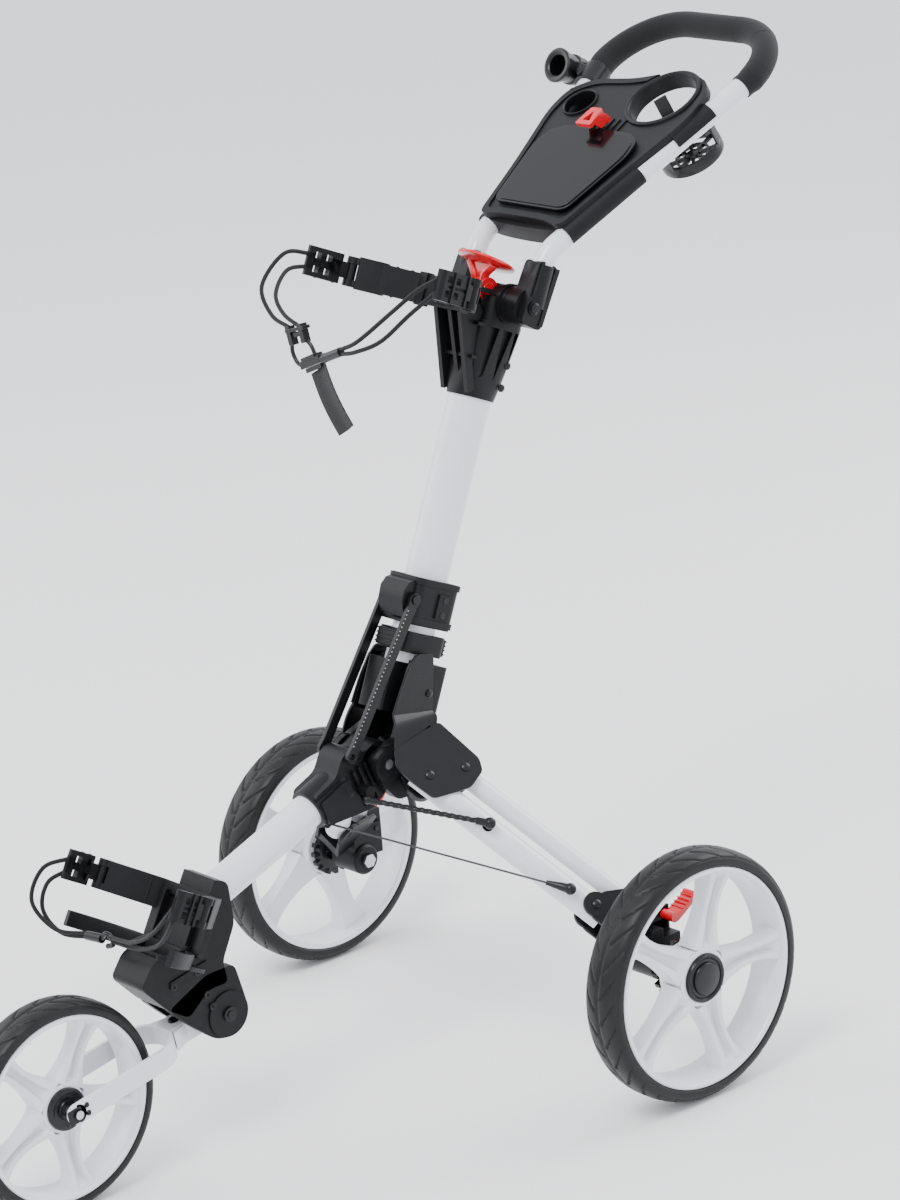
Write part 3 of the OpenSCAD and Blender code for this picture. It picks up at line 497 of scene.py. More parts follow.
def tread(r_out, r_in, w, blocks):
    """Low tyre with curved grooves that sweep over its shoulders."""
    outline = []
    m = 44
    r_mid = r_in + 2
    for i in range(m + 1):
        f = -math.pi / 2 + math.pi * i / m
        c, s = math.cos(f), math.sin(f)
        outline.append((r_mid + (r_out - r_mid) * abs(c) ** 0.62,
            w / 2 * math.copysign(abs(s) ** 0.8, s)))
    n = blocks * 16
    points = []
    ring = m + 3
    for k in range(n):
        a = 2 * math.pi * k / n
        for i, (r, z) in enumerate(outline):
            s = z / (w / 2)
            e = abs(s)
            u = (blocks * a / (2 * math.pi) + 1.25 * e ** 1.4 + (0.5 if s > 0 else 0)) % 1
            width = 0.13 * (1 - 0.5 * e)
            cut = ease(0, width, abs(u - 0.5))
            deep = 2.4 * (1 - cut) * ease(0.10, 0.2, e) * (1 - ease(0.86, 0.97, e))
            ring_line = 0.8 * (1 - ease(0, 0.035, abs(e - 0.94)))
            middle = 1.2 * (1 - ease(0.0, 0.05, e))
            inward = deep + middle
            points.append(((r - inward * (1 - 0.5 * e)) * math.cos(a),
                (r - inward * (1 - 0.5 * e)) * math.sin(a), z - math.copysign(ring_line + deep * e * 0.6,
                z)))
        for r, z in ((r_in, w / 2 - 2), (r_in, -w / 2 + 2)):
            points.append((r * math.cos(a), r * math.sin(a), z))
    return points, wrapped_faces(ring, n)


def wheels():
    pair("{}_wheel_rim", "{}_wheel", "white_rim", rim(128, 50, 32, 22.3, 22, 19, 18), REAR_WHEEL,
        replaces=["{}_rim"])
    pair("{}_wheel_tyre", "{}_wheel", "tyre", [tread(REAR_WHEEL_R, 128.2, 52, 30)], REAR_WHEEL,
        replaces=["{}_tyre"])
    cap = [lathe([(0, 26.6), (16.5, 26.6), (18, 26), (19, 24.6), (19.4, 22.5), (22.6, 22.3),
        (23.4, 23.6), (25, 24.6), (27.2, 24.2), (28.4, 22.6), (28.6, 19.2), (0, 19.2)], 72)]
    core = [lathe([(14.1, -20), (21.9, -20), (21.9, 17), (14.1, 17)], 64),
        lathe([(14.1, -30), (24, -30), (26, -28.5), (26, -20.2), (14.1, -20.2)], 72)]
    toothed = [moved(box((9, 5.5, 8), (28, 0, -26)), turn=(0, 0, 360 * i / 16)) for i in range(16)]
    pair("{}_wheel_hub", "{}_wheel", "hub_black", cap + core, REAR_WHEEL, replaces=["{}_hub"])
    pair("{}_brake_teeth", "{}_wheel", "hub_black", toothed, REAR_WHEEL, bevel=0.6)
    piece("front_wheel_rim", "front_wheel", "white_rim", rim(105.8, 44, 26, 13.2, 19, 16, 8),
        FRONT_WHEEL, replaces=["front_rim"])
    piece("front_wheel_tyre", "front_wheel", "tyre", [tread(120.5, 106, 46, 26)], FRONT_WHEEL,
        replaces=["front_tyre"])
    face = [(5.6, 16.2), (24, 16.2), (24.6, 18), (24, 21), (22, 22.6), (18, 22.8), (16, 21.5),
        (12, 21.5), (11, 23.4), (5.6, 23.4)]
    piece("front_wheel_discs", "front_wheel", "hub_black", [lathe(face, 64),
        lathe([(r, -z) for r, z in face], 64)], FRONT_WHEEL, replaces=["front_hub_caps"])


# ---------- column ----------
def upper_casting():
    bore = prism(oval(*COLUMN_BORE), 150, 301)

    def section(t):
        half_x, half_y, power = 24 + 5 * t, 28 + 5 * t, 2 / (2.3 + 3.2 * t)
        ring = [(math.cos(a), math.sin(a)) for a in (2 * math.pi * k / 56 for k in range(56))]
        return [(half_x * math.copysign(abs(c) ** power, c), half_y * math.copysign(abs(q) ** power, q))
            for c, q in ring]
    pockets = [[(-21, 300), (-6, 300), (-12, 244), (-18, 240)], [(0, 300), (15, 300), (5, 240)],
        [(19, 300), (26, 300), (20, 250)]]
    cuts = [prism(soft(o, 2), *span(s, 23.2, 40), "x") for o in pockets for s in SIDES]
    shell = sweep([(0, 0, z) for z in range(218, 307, 8)], section, up=(0, 1, 0))
    sleeve = carve(shell, bore, *cuts)
    webs = []
    for s in SIDES:
        strip = [(-18, 226), (-26, 221), (-66, 308), (-66, 341), (-58, 341), (-57, 314), (-28, 250)]
        webs.append(carve(prism(strip, *span(s, 17, 23.5), "x"), bore))
        webs.append(carve(prism([(-22, 232), (-58, 310), (-58, 338), (-26, 312)], *span(s, 17.5, 20),
            "x"), bore))
    webs.append(carve(prism([(-26, 236), (-66, 314), (-66, 336), (-26, 306)], -3, 3, "x"), bore))
    shelf = [box((58, 30, 5), (0, -45, 338)), box((57, 12, 4), (0, -34, 300)),
        box((55, 8, 4), (0, -33, 262))]
    shelf[0] = carve(shelf[0], box((27, 60, 30), (0, -34, 340)))
    neck = carve(slab([(-29, -30), (29, -30), (29, 31), (-29, 31)], 12, 300, 334),
        moved(disc(20, -13.5, 13.5, along="x"), (0, -22, 341)), box((27, 40, 34), (0, -30, 352)), bore)
    screw = disc(5.1, -50, 50, (0, HEAD_Z), "x")
    cam_room = disc(19.5, -13.6, 13.6, (LEVER_Y, HEAD_Z + 10), "x")
    lever_room = box((27.2, 48, 40), (0, -34, HEAD_Z + 24))
    boss = carve(disc(21, -40, 40, (0, HEAD_Z), "x", 72), screw, cam_room, lever_room)
    rings = [carve(disc(23, *span(s, 26, 33), (0, HEAD_Z), "x", 72), screw, cam_room) for s in SIDES]
    piece("column_head_casting", "frame", "black_casting", [sleeve, neck, boss, *rings, *webs, *shelf],
        COLUMN, bevel=1.1, replaces=["upper_casting"])
    rivets = [moved(lathe([(0, 3.4), (3, 3), (4.4, 1.6), (4.6, 0), (0, 0)], 24),
        (s * (22.5 + 0.04 * (z - 218)), 22, z), (0, s * 90, 0)) for s in SIDES for z in (236, 262)]
    piece("head_rivets", "frame", "black_steel", rivets, COLUMN)


def lower_column():
    groove = oval(44.8, 52.8)
    tube_room = prism(groove, -80, 40)
    collar = carve(slab([(-28, -32), (28, -32), (28, 32), (-28, 32)], 10, -48, 6), tube_room)
    lug = carve(prism([(-31, 3), (-42, -2), (-47, -12), (-46, -26), (-38, -42), (-31, -46)], -20.8, 20.8,
        "x"), disc(3.1, -40, 40, LINK_PIVOT, "x", 24))
    bands = [carve(slab([(-29.6, -33.4), (29.6, -33.4), (29.6, 33.4), (-29.6, 33.4)], 10, z, z + 7),
        tube_room) for z in (-1.4, -46)]
    tabs = [box((4, 20, 28), (s * 28.6, 10, -22)) for s in SIDES]
    piece("column_collar", "collar", "black_casting", [collar, lug, *bands, *tabs], COLUMN, bevel=1.1,
        replaces=["collar"])
    piece("collar_screws", "collar", "black_steel", [disc(4, -31.4, 31.4, (10, -14), "x", 24),
        disc(4, -31.4, 31.4, (10, -31), "x", 24)], COLUMN, bevel=0.6)
    ring_body = carve(slab([(-27, -30), (27, -30), (27, 30), (-27, 30)], 9, -80, -56),
        prism(groove, -100, -20))
    grips = [box((34, 9, 20), (0, s * 33.5, -68)) for s in SIDES]
    ridges = [box((34, 2.4, 2.2), (0, s * 38.6, z)) for s in SIDES for z in (-75, -70, -65, -60)]
    piece("lock_ring", "latch_ring", "black_casting", [ring_body, *grips, *ridges], COLUMN, bevel=0.9,
        replaces=["latch_ring"])
    length, tilt = 191.7, math.radians(11.1)
    c, sine = math.cos(-tilt), math.sin(-tilt)

    def along(points):
        return [(LINK_PIVOT[0] + y * c - z * sine, LINK_PIVOT[1] + y * sine + z * c) for y, z in points]
    bar = along(circle(7.6, 20, turn=180) + [(-7.6, 0), (-6.2, -10), (-6.2, -length + 10)]
        + circle(7.6, 20, (0, -length), 180, 180) + [(6.2, -length + 10), (6.2, -10)])
    hole = along(circle(3.6, 20, (0, -length)))
    bars = [carve(prism(bar, s * 25 - 2.6, s * 25 + 2.6, "x"), prism(hole, s * 25 - 6, s * 25 + 6, "x"))
        for s in SIDES]
    # Painted highlight: a row of small bright steel beads along each bar's outer edge stands in for the light
    # caught along that edge.
    highlight_beads = [moved(ball((0, 0, 0), 0.75, 8), (s * 27.7, *along([(-5, z)])[0])) for s in SIDES
        for z in range(-180, -10, 5)]
    piece("link_pair", "link_bars", "black_steel", [*bars, disc(3, -29.5, 29.5, LINK_PIVOT, "x"),
        *[disc(5.6, *span(s, 27.6, 30), LINK_PIVOT, "x") for s in SIDES]], COLUMN, bevel=0.5,
        replaces=["link_bars"])
    piece("link_edge_highlight", "link_bars", "steel", highlight_beads, COLUMN)


def hub():
    pivot_y, pivot_z = (COLUMN.inverted() @ ARM.translation).yz
    shell = slab([(-34, -14), (34, -14), (34, 36), (-34, 36)], 6, -150, -88)
    front = slab([(-20, -39), (20, -39), (20, -8), (-20, -8)], 3, -150, -92)
    block = carve(shell, prism(oval(*COLUMN_BORE), -130, -40))
    front = carve(front, prism(oval(*COLUMN_BORE), -130, -40), box((25, 16, 90), (0, -24, -120)))
    bolt_room = disc(6.2, -60, 60, (pivot_y, pivot_z), "x")
    cheeks, ribs = [], []
    for s in SIDES:
        lo, hi = span(s, 20.6, 34)
        cheek = slab([(-14, -140), (36, -140), (44, -185), (38, -232), (8, -246), (pivot_y, -231),
            (-43, pivot_z), (pivot_y, -184), (-14, -178)], 8, lo, hi, "x")
        cheeks.append(carve(cheek, bolt_room, prism([(4, -150), (28, -150), (34, -184), (12, -184)],
            s * 31, s * 40, "x")))
        cheeks.append(carve(disc(20, *span(s, 33, 40), (pivot_y, pivot_z), "x"), bolt_room))
        ribs += [prism([(8, y), (38, y - 6), (38, y - 9), (8, y - 3)], *span(s, 31, 35), "x")
            for y in (-194, -208, -222)]
    spine = prism([(14, -150), (36, -150), (44, -185), (38, -232), (14, -243)], -20.6, 20.6, "x")
    piece("hub_body", "frame", "black_casting", [block, front, spine, *cheeks, *ribs], COLUMN, bevel=1.2)
    seat = prism(soft([(-32, -4), (-6, -16), (12, -6), (40, 22), (40, 48), (20, 54), (-20, 54),
        (-50, 30)], 6), -24.4, -BRACKET_Z)
    holes = [disc(4.1, -60, 60, p, n=24) for p in LEG_PINS]
    pads = [disc(15, -26.4, -BRACKET_Z, p) for p in LEG_PINS]
    shapes = [carve(s, *holes) for s in (seat, *pads)]
    for right in (False, True):
        piece("hub_leg_seat_" + ("right" if right else "left"), "frame", "black_casting",
            shapes, LEG, bevel=1.0, right=right)
    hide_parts("hub_casting")
    plate = carve(prism(soft([(-50, -2), (-34, -19), (-10, -21), (20, -20), (45, 20), (44, 46), (32, 56),
        (-30, 61)], 5), BRACKET_Z, BRACKET_Z + 3), *holes)
    for right in (False, True):
        name = "right" if right else "left"
        lower = piece("leg_plate_" + name, "frame", "black_steel", [plate], LEG, bevel=0.7, right=right)
        upright = prism(soft([(-32, -156), (-28, -96), (-20, -80), (2, -75), (7, -80), (24, -140),
            (22, -158)], 5), 34.05, 37.05, "x")
        lip = sweep(curve([(36, -25, -92), (36.5, -30, -120), (36.5, -33, -152)], 4), circle(1.6, 10))
        piece("bracket_upright_" + name, "frame", "black_steel", [upright, lip], COLUMN, bevel=0.7,
            right=right)
        to_column = COLUMN.inverted() @ LEG
        above = [Vector((x, y, z)) for x, y, z in ((37.1, -32, -152), (37.1, 23, -138))]
        below = [to_column @ Vector(q) for q in ((-33, 58, 18.4), (-49, 0, 18.4))]
        below.reverse()
        middle = [(a + b) / 2 + Vector((5, 0, 3)) for a, b in zip(above, below)]
        bend = [arc_point(above[k], middle[k], below[k], j / 8) for k in (0, 1) for j in range(9)]
        skin = [tuple(q) for q in bend] + [tuple(q + Vector((-2.6, 0, -1.6))) for q in bend]
        faces = []
        for j in range(8):
            faces += [(j, j + 1, 10 + j, 9 + j), (18 + j, 27 + j, 28 + j, 19 + j),
                (j, 18 + j, 19 + j, j + 1), (9 + j, 10 + j, 28 + j, 27 + j)]
        faces += [(0, 9, 27, 18), (8, 26, 35, 17)]
        piece("bracket_bend_" + name, "frame", "black_steel", [(skin, faces)], COLUMN, right=right)
        heads = [moved(lathe([(0, 3.2), (3, 2.8), (4.4, 1.6), (4.6, 0), (0, 0)], 20), (37, y, z),
            (0, 90, 0)) for y, z in ((12, -120), (14, -146))]
        piece("bracket_rivets_" + name, "frame", "black_steel", heads, COLUMN, right=right)
        if right:
            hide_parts("leg_brackets")


# ---------- front arm ----------
def front_arm():
    link_pin = disc(3.1, -60, 60, (-32.8, 31.6), "x")
    bolt_room = disc(6.1, -60, 60, along="x")
    core = slab([(-96, 18), (-60, 20), (-42, 36), (-26, 38), (-14, 22), (0, 22), (22, 0), (4, -30),
        (-12, -42), (-34, -44), (-96, -23)], 7, -20, 20, "x")
    waist = slab([(-94, 10), (-60, 12), (-48, 12), (-44, -20), (-46, -36), (-94, -20)], 4, -26, 26, "x")
    sleeve = moved(lathe([(20.1, 0), (26, 0), (27, 1.5), (27, 7), (25, 9), (24.6, 50), (20.1, 50)], 72),
        (0, -48, ARM_TUBE_Z), (90, 0, 0))
    tunnel = moved(disc(ARM_BORE_R, 0, 60, n=72), (0, -48, ARM_TUBE_Z), (90, 0, 0))
    boss = disc(23, -20, 20, along="x", n=64)
    core = carve(core, bolt_room, link_pin, tunnel)
    waist = carve(waist, tunnel)
    boss = carve(boss, bolt_room)
    ribs = [prism([(y, 14), (y + 3, 14), (y + 3, -26 - 0.18 * (y + 90)), (y, -26 - 0.18 * (y + 90))],
        *span(s, 19, 25), "x") for s in SIDES for y in (-40, -31, -22)]
    ears = [disc(7, *span(s, 19, 37.6), (-36, -13), "x", 28) for s in SIDES]
    eye = [box((4, 12, 8), (0, -83, -30)), disc(5, -2, 2, (-83, -33.5), "x", 24)]
    piece("knuckle", "front_arm", "black_casting", [core, waist, sleeve, boss, *ribs, *ears, *eye], ARM,
        bevel=1.1, replaces=["arm_knuckle"])


def front_block():
    outline = [(-408, 312), (-452, 330), (-470, 290), (-478, 262), (-520, 250), (-538, 226), (-505, 190),
        (-478, 172), (-448, 196), (-420, 196), (-425, 222), (-404, 262)]
    at_arm = GROUND.inverted() @ ARM
    bore = placed(moved(disc(ARM_BORE_R, 0, 36, n=72), (0, -229, ARM_TUBE_Z), (90, 0, 0)), at_arm)
    tool = placed(box((200, 200, 200), (0, -104.6, 53.6)), GROUND.inverted() @ CRADLE)
    body = carve(slab(outline, 8, -28, 28, "x"), bore, tool, disc(30, -16.2, 16.2, FORK_PIVOT, "x"),
        box((32.4, 92, 42), (0, -470, 152)))
    pivot_room = disc(5.1, -60, 60, FORK_PIVOT, "x")
    parts = [body]
    for s in SIDES:
        lo, hi = span(s, 16.2, 28)
        lobe = prism(soft([(-505, 190), (-478, 163), (-446, 136), (-425, 131), (-396, 160), (-410, 215),
            (-450, 215)], 9), lo, hi, "x")
        parts.append(carve(lobe, pivot_room))
        parts.append(carve(disc(27, *span(s, 17, 30), FORK_PIVOT, "x", 64), pivot_room))
        parts.append(prism([(-500, 222), (-448, 232), (-448, 226), (-500, 216)], *span(s, 26, 30), "x"))
    piece("front_block_casting", "front_arm", "black_casting", parts, GROUND, bevel=1.3,
        replaces=["front_block"])
    screws = []
    for s in SIDES:
        for y, z in ((-496, 216), (-462, 222), (-452, 192), (-446, 176)):
            head = carve(disc(4.4, *span(s, 27, 30.6), (y, z), "x", 24),
                disc(2.2, *span(s, 29, 33), (y, z), "x", 6))
            screws.append(head)
        screws.append(disc(8.5, *span(s, 30.2, 33), FORK_PIVOT, "x", 36))
        screws.append(disc(5, *span(s, 32.8, 34.4), FORK_PIVOT, "x", 6))
    screws.append(disc(5, -31, 31, FORK_PIVOT, "x", 32))
    piece("front_screws", "front_arm", "black_steel", screws, GROUND, bevel=0.5, replaces=["block_bolts"])


EAR_HEIGHT = 34


def ear_shape(length, sign):
    """Hinged ear: a ribbed block with two by two square holes and a slit."""
    tall, short = EAR_HEIGHT / 2, (EAR_HEIGHT - 16) / 2
    core = disc(6, -short, short, n=32)
    leaf = slab([(-4, -6), (5, -6), (6, -length + 6), (3, -length), (-4, -length)], 2, -short, short)
    face = slab([(-4, -15), (6, -15), (6, -length + 4), (2, -length), (-4, -length)], 2, -tall, tall)
    holes = [box((30, 7.5, 7.5), (0, -length + y, z)) for y in (13, 28) for z in (-8, 8)]
    holes.append(box((4, length * 0.5, 3), (7, -length * 0.55, 0)))
    face = carve(face, *holes)
    leaf = carve(leaf, *holes)
    ridges = [box((3, 3, EAR_HEIGHT + 1), (6.2, -y, 0)) for y in (17.5, length - 20.5)]
    shapes = [moved(s, turn=(0, 0, 8)) for s in (core, leaf, face, *ridges)]
    return shapes if sign > 0 else [flipped(s) for s in shapes]


def ears(name, node, frame_at, x, y, z, length):
    for s, side in ((1, "left"), (-1, "right")):
        at = frame_at @ Matrix.Translation((s * x, y, z))
        hinge = disc(2.5, -EAR_HEIGHT / 2, EAR_HEIGHT / 2, n=24)
        piece(f"{name}_{side}", f"{node}_{side}_ear", "black_casting", ear_shape(length, s) + [hinge],
            at, bevel=0.8, replaces=[f"{node}_{side}_ear"])


def upper_cradle():
    high, low = BAND_Z + 17, BAND_Z - 17
    arms = []
    for s in SIDES:
        half = soft([(0, -66), (48, -66), (76, -92), (97, -120), (104, -116), (106, -122), (98, -131),
            (72, -104), (46, -74), (0, -74)], 5)
        half = [(s * x, y) for x, y in half]
        arms.append(carve(prism(half, low, high), *[disc(EAR_ROOM, BAND_Z - EAR_ROOM, BAND_Z + EAR_ROOM,
            (s * EAR_X, EAR_Y))], disc(2.6, low - 9, high + 9, (s * EAR_X, EAR_Y), n=24)))
        for z in (-1, 1):
            knob = disc(7, BAND_Z + z * 13 - 4, BAND_Z + z * 13 + 4, (s * EAR_X, EAR_Y), n=32)
            arms.append(carve(knob, disc(2.6, 250, 350, (s * EAR_X, EAR_Y), n=24)))
        for x, y, t in ((56, -77, 38), (68, -90, 44), (82, -106, 50)):
            arms.append(moved(box((2.6, 8, 36)), (s * x, y - 2, BAND_Z), (0, 0, s * -t)))
        arms += [prism([(s * 50, -70), (s * 74, -94), (s * 72, -100), (s * 48, -77)], z - 1.6, z + 1.6)
            for z in (low + 2.5, high - 2.5)]
        arms.append(box((13, 11, 38), (s * 40, -71, BAND_Z)))
        hinge_block = prism(soft([(s * 78, -94), (s * 96, -113), (s * 101, -121), (s * 93, -129),
            (s * 74, -106)], 3), low - 1.5, high + 1.5)
        arms.append(carve(hinge_block, disc(EAR_ROOM, BAND_Z - EAR_ROOM, BAND_Z + EAR_ROOM,
            (s * EAR_X, EAR_Y))))
        arms += [moved(box((17, 3, 5)), (s * 84, -114, z), (0, 0, s * -44))
            for z in (low + 8, BAND_Z, high - 8)]
    mount = [box((62, 7, 34), (0, -69.6, BAND_Z)), box((30, 4, 26), (0, -74.5, BAND_Z))]
    piece("bag_band", "frame", "black_casting", [*arms, *mount], COLUMN, bevel=0.9,
        replaces=["upper_cradle"])
    screws = [moved(lathe([(0, 2.6), (3.4, 2.2), (4.4, 0), (0, 0)], 20), (x, -77, z), (90, 0, 0))
        for x in (-9, 9) for z in (BAND_Z - 8, BAND_Z + 8)]
    piece("band_screws", "frame", "black_steel", screws, COLUMN)
    ears("band_ear", "upper", COLUMN, EAR_X, EAR_Y, BAND_Z, 62)


def lower_cradle():
    back = slab([(-50, -33), (50, -33), (50, 37), (-50, 37)], 8, -13, -5, "y")
    back = carve(back, slab([(-36, 2), (-12, 2), (-12, 24), (-36, 24)], 3, -30, -9, "y"),
        slab([(12, 2), (36, 2), (36, 24), (12, 24)], 3, -30, -9, "y"))
    parts = [back]
    for s in SIDES:
        half = [(s * x, y) for x, y in soft([(40, -5), (50, -5), (74, -30), (88, -52), (94, -50),
            (94, -56), (86, -65), (66, -42), (44, -13)], 4)]
        hinge = (s * BASE_EAR_X, BASE_EAR_Y)
        pin_room = disc(2.6, -10, 50, hinge, n=24)
        parts.append(carve(prism(half, 3, 37), disc(EAR_ROOM, 10.6, 29.4, hinge), pin_room))
        for z in (-1, 1):
            parts.append(carve(disc(7, 20 + z * 13 - 4, 20 + z * 13 + 4, hinge, n=32), pin_room))
        parts += [moved(box((2.4, 7, 34)), (s * x, y - 3, 20), (0, 0, s * -45)) for x,
            y in ((54, -19), (66, -31))]
        parts += [box((4, 12, 52), (s * 30, -14, 2))]

    lip = [(95.5 * math.sin(a), -106 + 95.5 * math.cos(a), -37) for a in (math.radians(-79 + 158
        * k / 40) for k in range(41))]
    rail = sweep(lip, soft([(-4, -9), (4, -9), (4, 9), (-4, 9)], 2), up=(0, 0, 1))
    shelf = slab([(-62, -4), (62, -4), (74, -40), (60, -62), (46, -68), (30, -40), (-30, -40),
        (-46, -68), (-60, -62), (-74, -40)], 8, -46, -41)
    struts = [prism([(-6, -45), (-6, -18), (-44, -41), (-44, -45)], s * 34 - 2, s * 34 + 2, "x")
        for s in SIDES]
    piece("bag_base", "front_arm", "black_casting", [*parts, shelf, rail, *struts], CRADLE, bevel=0.9,
        replaces=["lower_cradle"])
    ears("base_ear", "lower", CRADLE, BASE_EAR_X, BASE_EAR_Y, BASE_EAR_Z, 48)


def fork():
    bend = [(38 * math.cos(a), 118 + 38 * math.sin(a), 0) for a in (math.pi * k / 32 for k in range(33))]
    path = [(38, 0, 0), (38, 60, 0)] + bend + [(-38, 60, 0), (-38, 0, 0)]
    strap = sweep(path, [(-2.5, -12), (2.5, -12), (2.5, 12), (-2.5, 12)], up=(0, 0, 1))
    ends = [disc(12, *span(s, 35.5, 40.5), (0, 0), "x", 48) for s in SIDES]
    drill = disc(5.05, -60, 60, along="x")
    strap = carve(strap, drill)
    ends = [carve(e, drill) for e in ends]
    pivot_room = disc(5.05, -60, 60, (FORK_LEN, 0), "x")
    stem = carve(box((29, 72, 25), (0, 188.5, 0)), pivot_room)
    knob = carve(disc(13, -15, 15, (FORK_LEN, 0), "x"), pivot_room)
    gusset = [prism([(14, 157), (24, 152), (14, 176)], -11, 11), prism([(-14, 157), (-24, 152),
        (-14, 176)], -11, 11)]
    piece("fork_bar", "front_fork", "white_tube", [strap, *ends, stem, knob, *gusset], FORK, bevel=0.8,
        replaces=["front_fork"])
    nuts = [disc(6.5, *span(s, 40.7, 43.5), (0, 0), "x", 6) for s in SIDES]
    washers = [slab([(-13.4, -9), (5, -9), (5, 9), (-13.4, 9)], 2, *span(s, 40.4, 41.6), "x")
        for s in SIDES]
    rivets = [moved(lathe([(0, 2.4), (2.4, 2), (3.4, 0), (0, 0)], 20), (s * 40.5, 13, z), (0, s * 90, 0))
        for s in SIDES for z in (-5, 5)]
    spindle = [disc(5, -44.5, 44.5, along="x", n=36)]
    piece("fork_axle", "front_fork", "steel", spindle, FORK, bevel=0.4, replaces=["front_axle"])
    piece("fork_end_plates", "front_fork", "black_steel", [*nuts, *washers, *rivets], FORK, bevel=0.4)
    bolt = [moved(lathe([(0, 3.6), (4, 3.2), (6, 1.4), (6, 0), (0, 0)], 24), (0, 170, z), (r, 0, 0))
        for z, r in ((12.5, 0), (-12.5, 180))]
    piece("stem_bolt", "front_fork", "black_steel", bolt, FORK)


# ---------- legs ----------
def legs():
    world_to_leg = LEG.inverted()
    stay_a = world_to_leg @ (GROUND @ Vector((45, -216, 354)))
    stay_b = Vector((86.7, -4.2, 23.4))
    way = (stay_b - stay_a).normalized()
    n = 90
    path = [stay_a.lerp(stay_b, k / n) for k in range(n + 1)]

    def lay(t):
        """Three strands that twist sixteen times on the way."""
        turn = t * 360 * 16
        ring = []
        for a in range(0, 360, 15):
            r = 3.0 + 0.45 * math.cos(math.radians(3 * (a - turn / 3)))
            ring.append((r * math.cos(math.radians(a)), r * math.sin(math.radians(a))))
        return ring
    rope = sweep(path, lay)
    ends = [ball(stay_a, 5), ball(stay_b, 7), pin(stay_b - way * 16, stay_b, 4.4),
        pin(stay_a, stay_a + way * 12, 4)]
    pair("{}_stay", "{}_stay_rod", "black_steel", [rope, *ends], LEG, replaces=["{}_stay_rod"])
    foot = [lathe([(0, 14), (5.5, 14), (6.4, 15.4), (6.4, 16.2), (0, 16.2)], 28)]
    pair("{}_stay_foot", "{}_leg", "black_casting", [moved(foot[0], (86.7, -4.2, -1.4))], LEG)
    rear = Vector((203, -7.7, 23.6))
    front = world_to_leg @ (GROUND @ Vector((8, -241.4, 323.8)))
    toward = (front - rear).normalized()
    boot = [ball(rear, 7), tube([rear + toward * d for d in (4, 12, 14, 20, 22, 28)],
        lambda t: circle(5.2 - 2.4 * t, 20))]
    pair("{}_wire_boot", "{}_wire", "hub_black", boot, LEG)
    line = [rear + toward * 6] + [rear.lerp(front, k / 24) for k in range(1, 25)]
    for right in (False, True):
        side = "right" if right else "left"
        wire = piece(f"{side}_wire_rope", f"{side}_wire", "wire", [tube(line, 1.25, 12)], LEG,
            replaces=[f"{side}_wire"], right=right)


def carriers():
    plates = []
    outline = soft([(0, -16), (60, -16), (62, 34), (26, 51), (-6, 14)], 10)
    holes = [disc(4.1, -60, 60, p, n=24) for p in LEG_PINS]
    for z in (15.4, -19.4):
        plates.append(carve(prism(outline, z, z + 4), *holes))
        plates.append(carve(disc(15, z - 0.6 if z < 0 else z, z + 4.6 if z > 0 else z + 4, (0, 0)),
            *holes))
    plates = [moved(p, (LEG_LENGTH, 0, 0)) for p in plates]
    web = box((21, 46, 38.4), (289, 10, 0))
    pair("{}_carrier_plates", "{}_carrier", "black_casting", [*plates, web], LEG, bevel=0.9,
        replaces=["{}_carrier"])
    r = REAR_WHEEL_R
    shaft = disc(6.05, 100, 400, (0, r), "x")
    peg = disc(2.55, 200, 300, (24, r + 48), "x", 24)
    gap = box((22, 44, 40), (273, 26, r + 50))
    teeth_room = disc(45, 282, 302, (0, r), "x", 72)
    barrel = lathe([(6.05, -25), (16, -25), (19, -22), (19, 22), (16, 25), (6.05, 25)], 64)
    block = [carve(moved(barrel, (262, 0, r), (0, 90, 0)), teeth_room, gap),
        carve(box((40, 44, 40), (262, 8, r + 22)), shaft, gap, teeth_room, peg),
        carve(box((16, 26, 42), (254, 20, r + 36)), peg, gap)]
    pair("{}_carrier_block", "{}_carrier", "black_casting", block, GROUND, bevel=1.0)
    dots = [moved(lathe([(0, 2), (3, 1.6), (3.6, 0), (0, 0)], 20), (241.8, y, r + 34), (0, -90, 0))
        for y in (-6, 22)]
    pair("{}_carrier_rivets", "{}_carrier", "black_steel", dots, GROUND)
    pad = slab([(-5, -4), (4, -6), (30, 9), (37, 19), (33, 21.5), (26, 14), (2, 2), (-5, 4)], 2.5, 262.8,
        282.2, "x")
    grip = [moved(box((19.4, 1.6, 2)), (272.5, 12 + 5 * k, 7.6 + 3.1 * k), (31, 0, 0)) for k in range(4)]
    pedal = [pad, disc(6, 262.6, 282.4, along="x", n=32), disc(2.5, 248, 278, along="x", n=24), *grip]
    head = lathe([(0, 3), (3, 2.7), (5.2, 1.2), (5.4, 0), (0, 0)], 32)
    pivots = [moved(s, (x, y, 0)) for x, y in ((LEG_LENGTH, 0), (LEG_LENGTH + 26, 36))
        for s in (disc(4, -19.4, 19.4, n=28), moved(head, (0, 0, 19.9)))]
    pair("{}_carrier_pins", "{}_carrier", "black_steel", pivots, LEG)
    shaft = [disc(6, 232, 344.6, (0, r), "x", 40), disc(9, 230.8, 234, (0, r), "x", 6)]
    pair("{}_wheel_axle", "{}_carrier", "steel", shaft, GROUND, bevel=0.5, replaces=["{}_axle_and_pins"])
    pivots = [moved(s, (x, y, 0)) for x, y in LEG_PINS for s in (disc(4, -24.4, 18.4, n=28),
        moved(head, (0, 0, 18.4)))]
    made = pair("{}_leg_rivets", "frame", "black_steel", pivots, LEG)
    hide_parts("leg_pins")
    pair("{}_brake_lever", "{}_brake_pedal", "red", [moved(p, (0, 24, r + 48)) for p in pedal], GROUND,
        bevel=0.9, replaces=["{}_brake_pedal"])


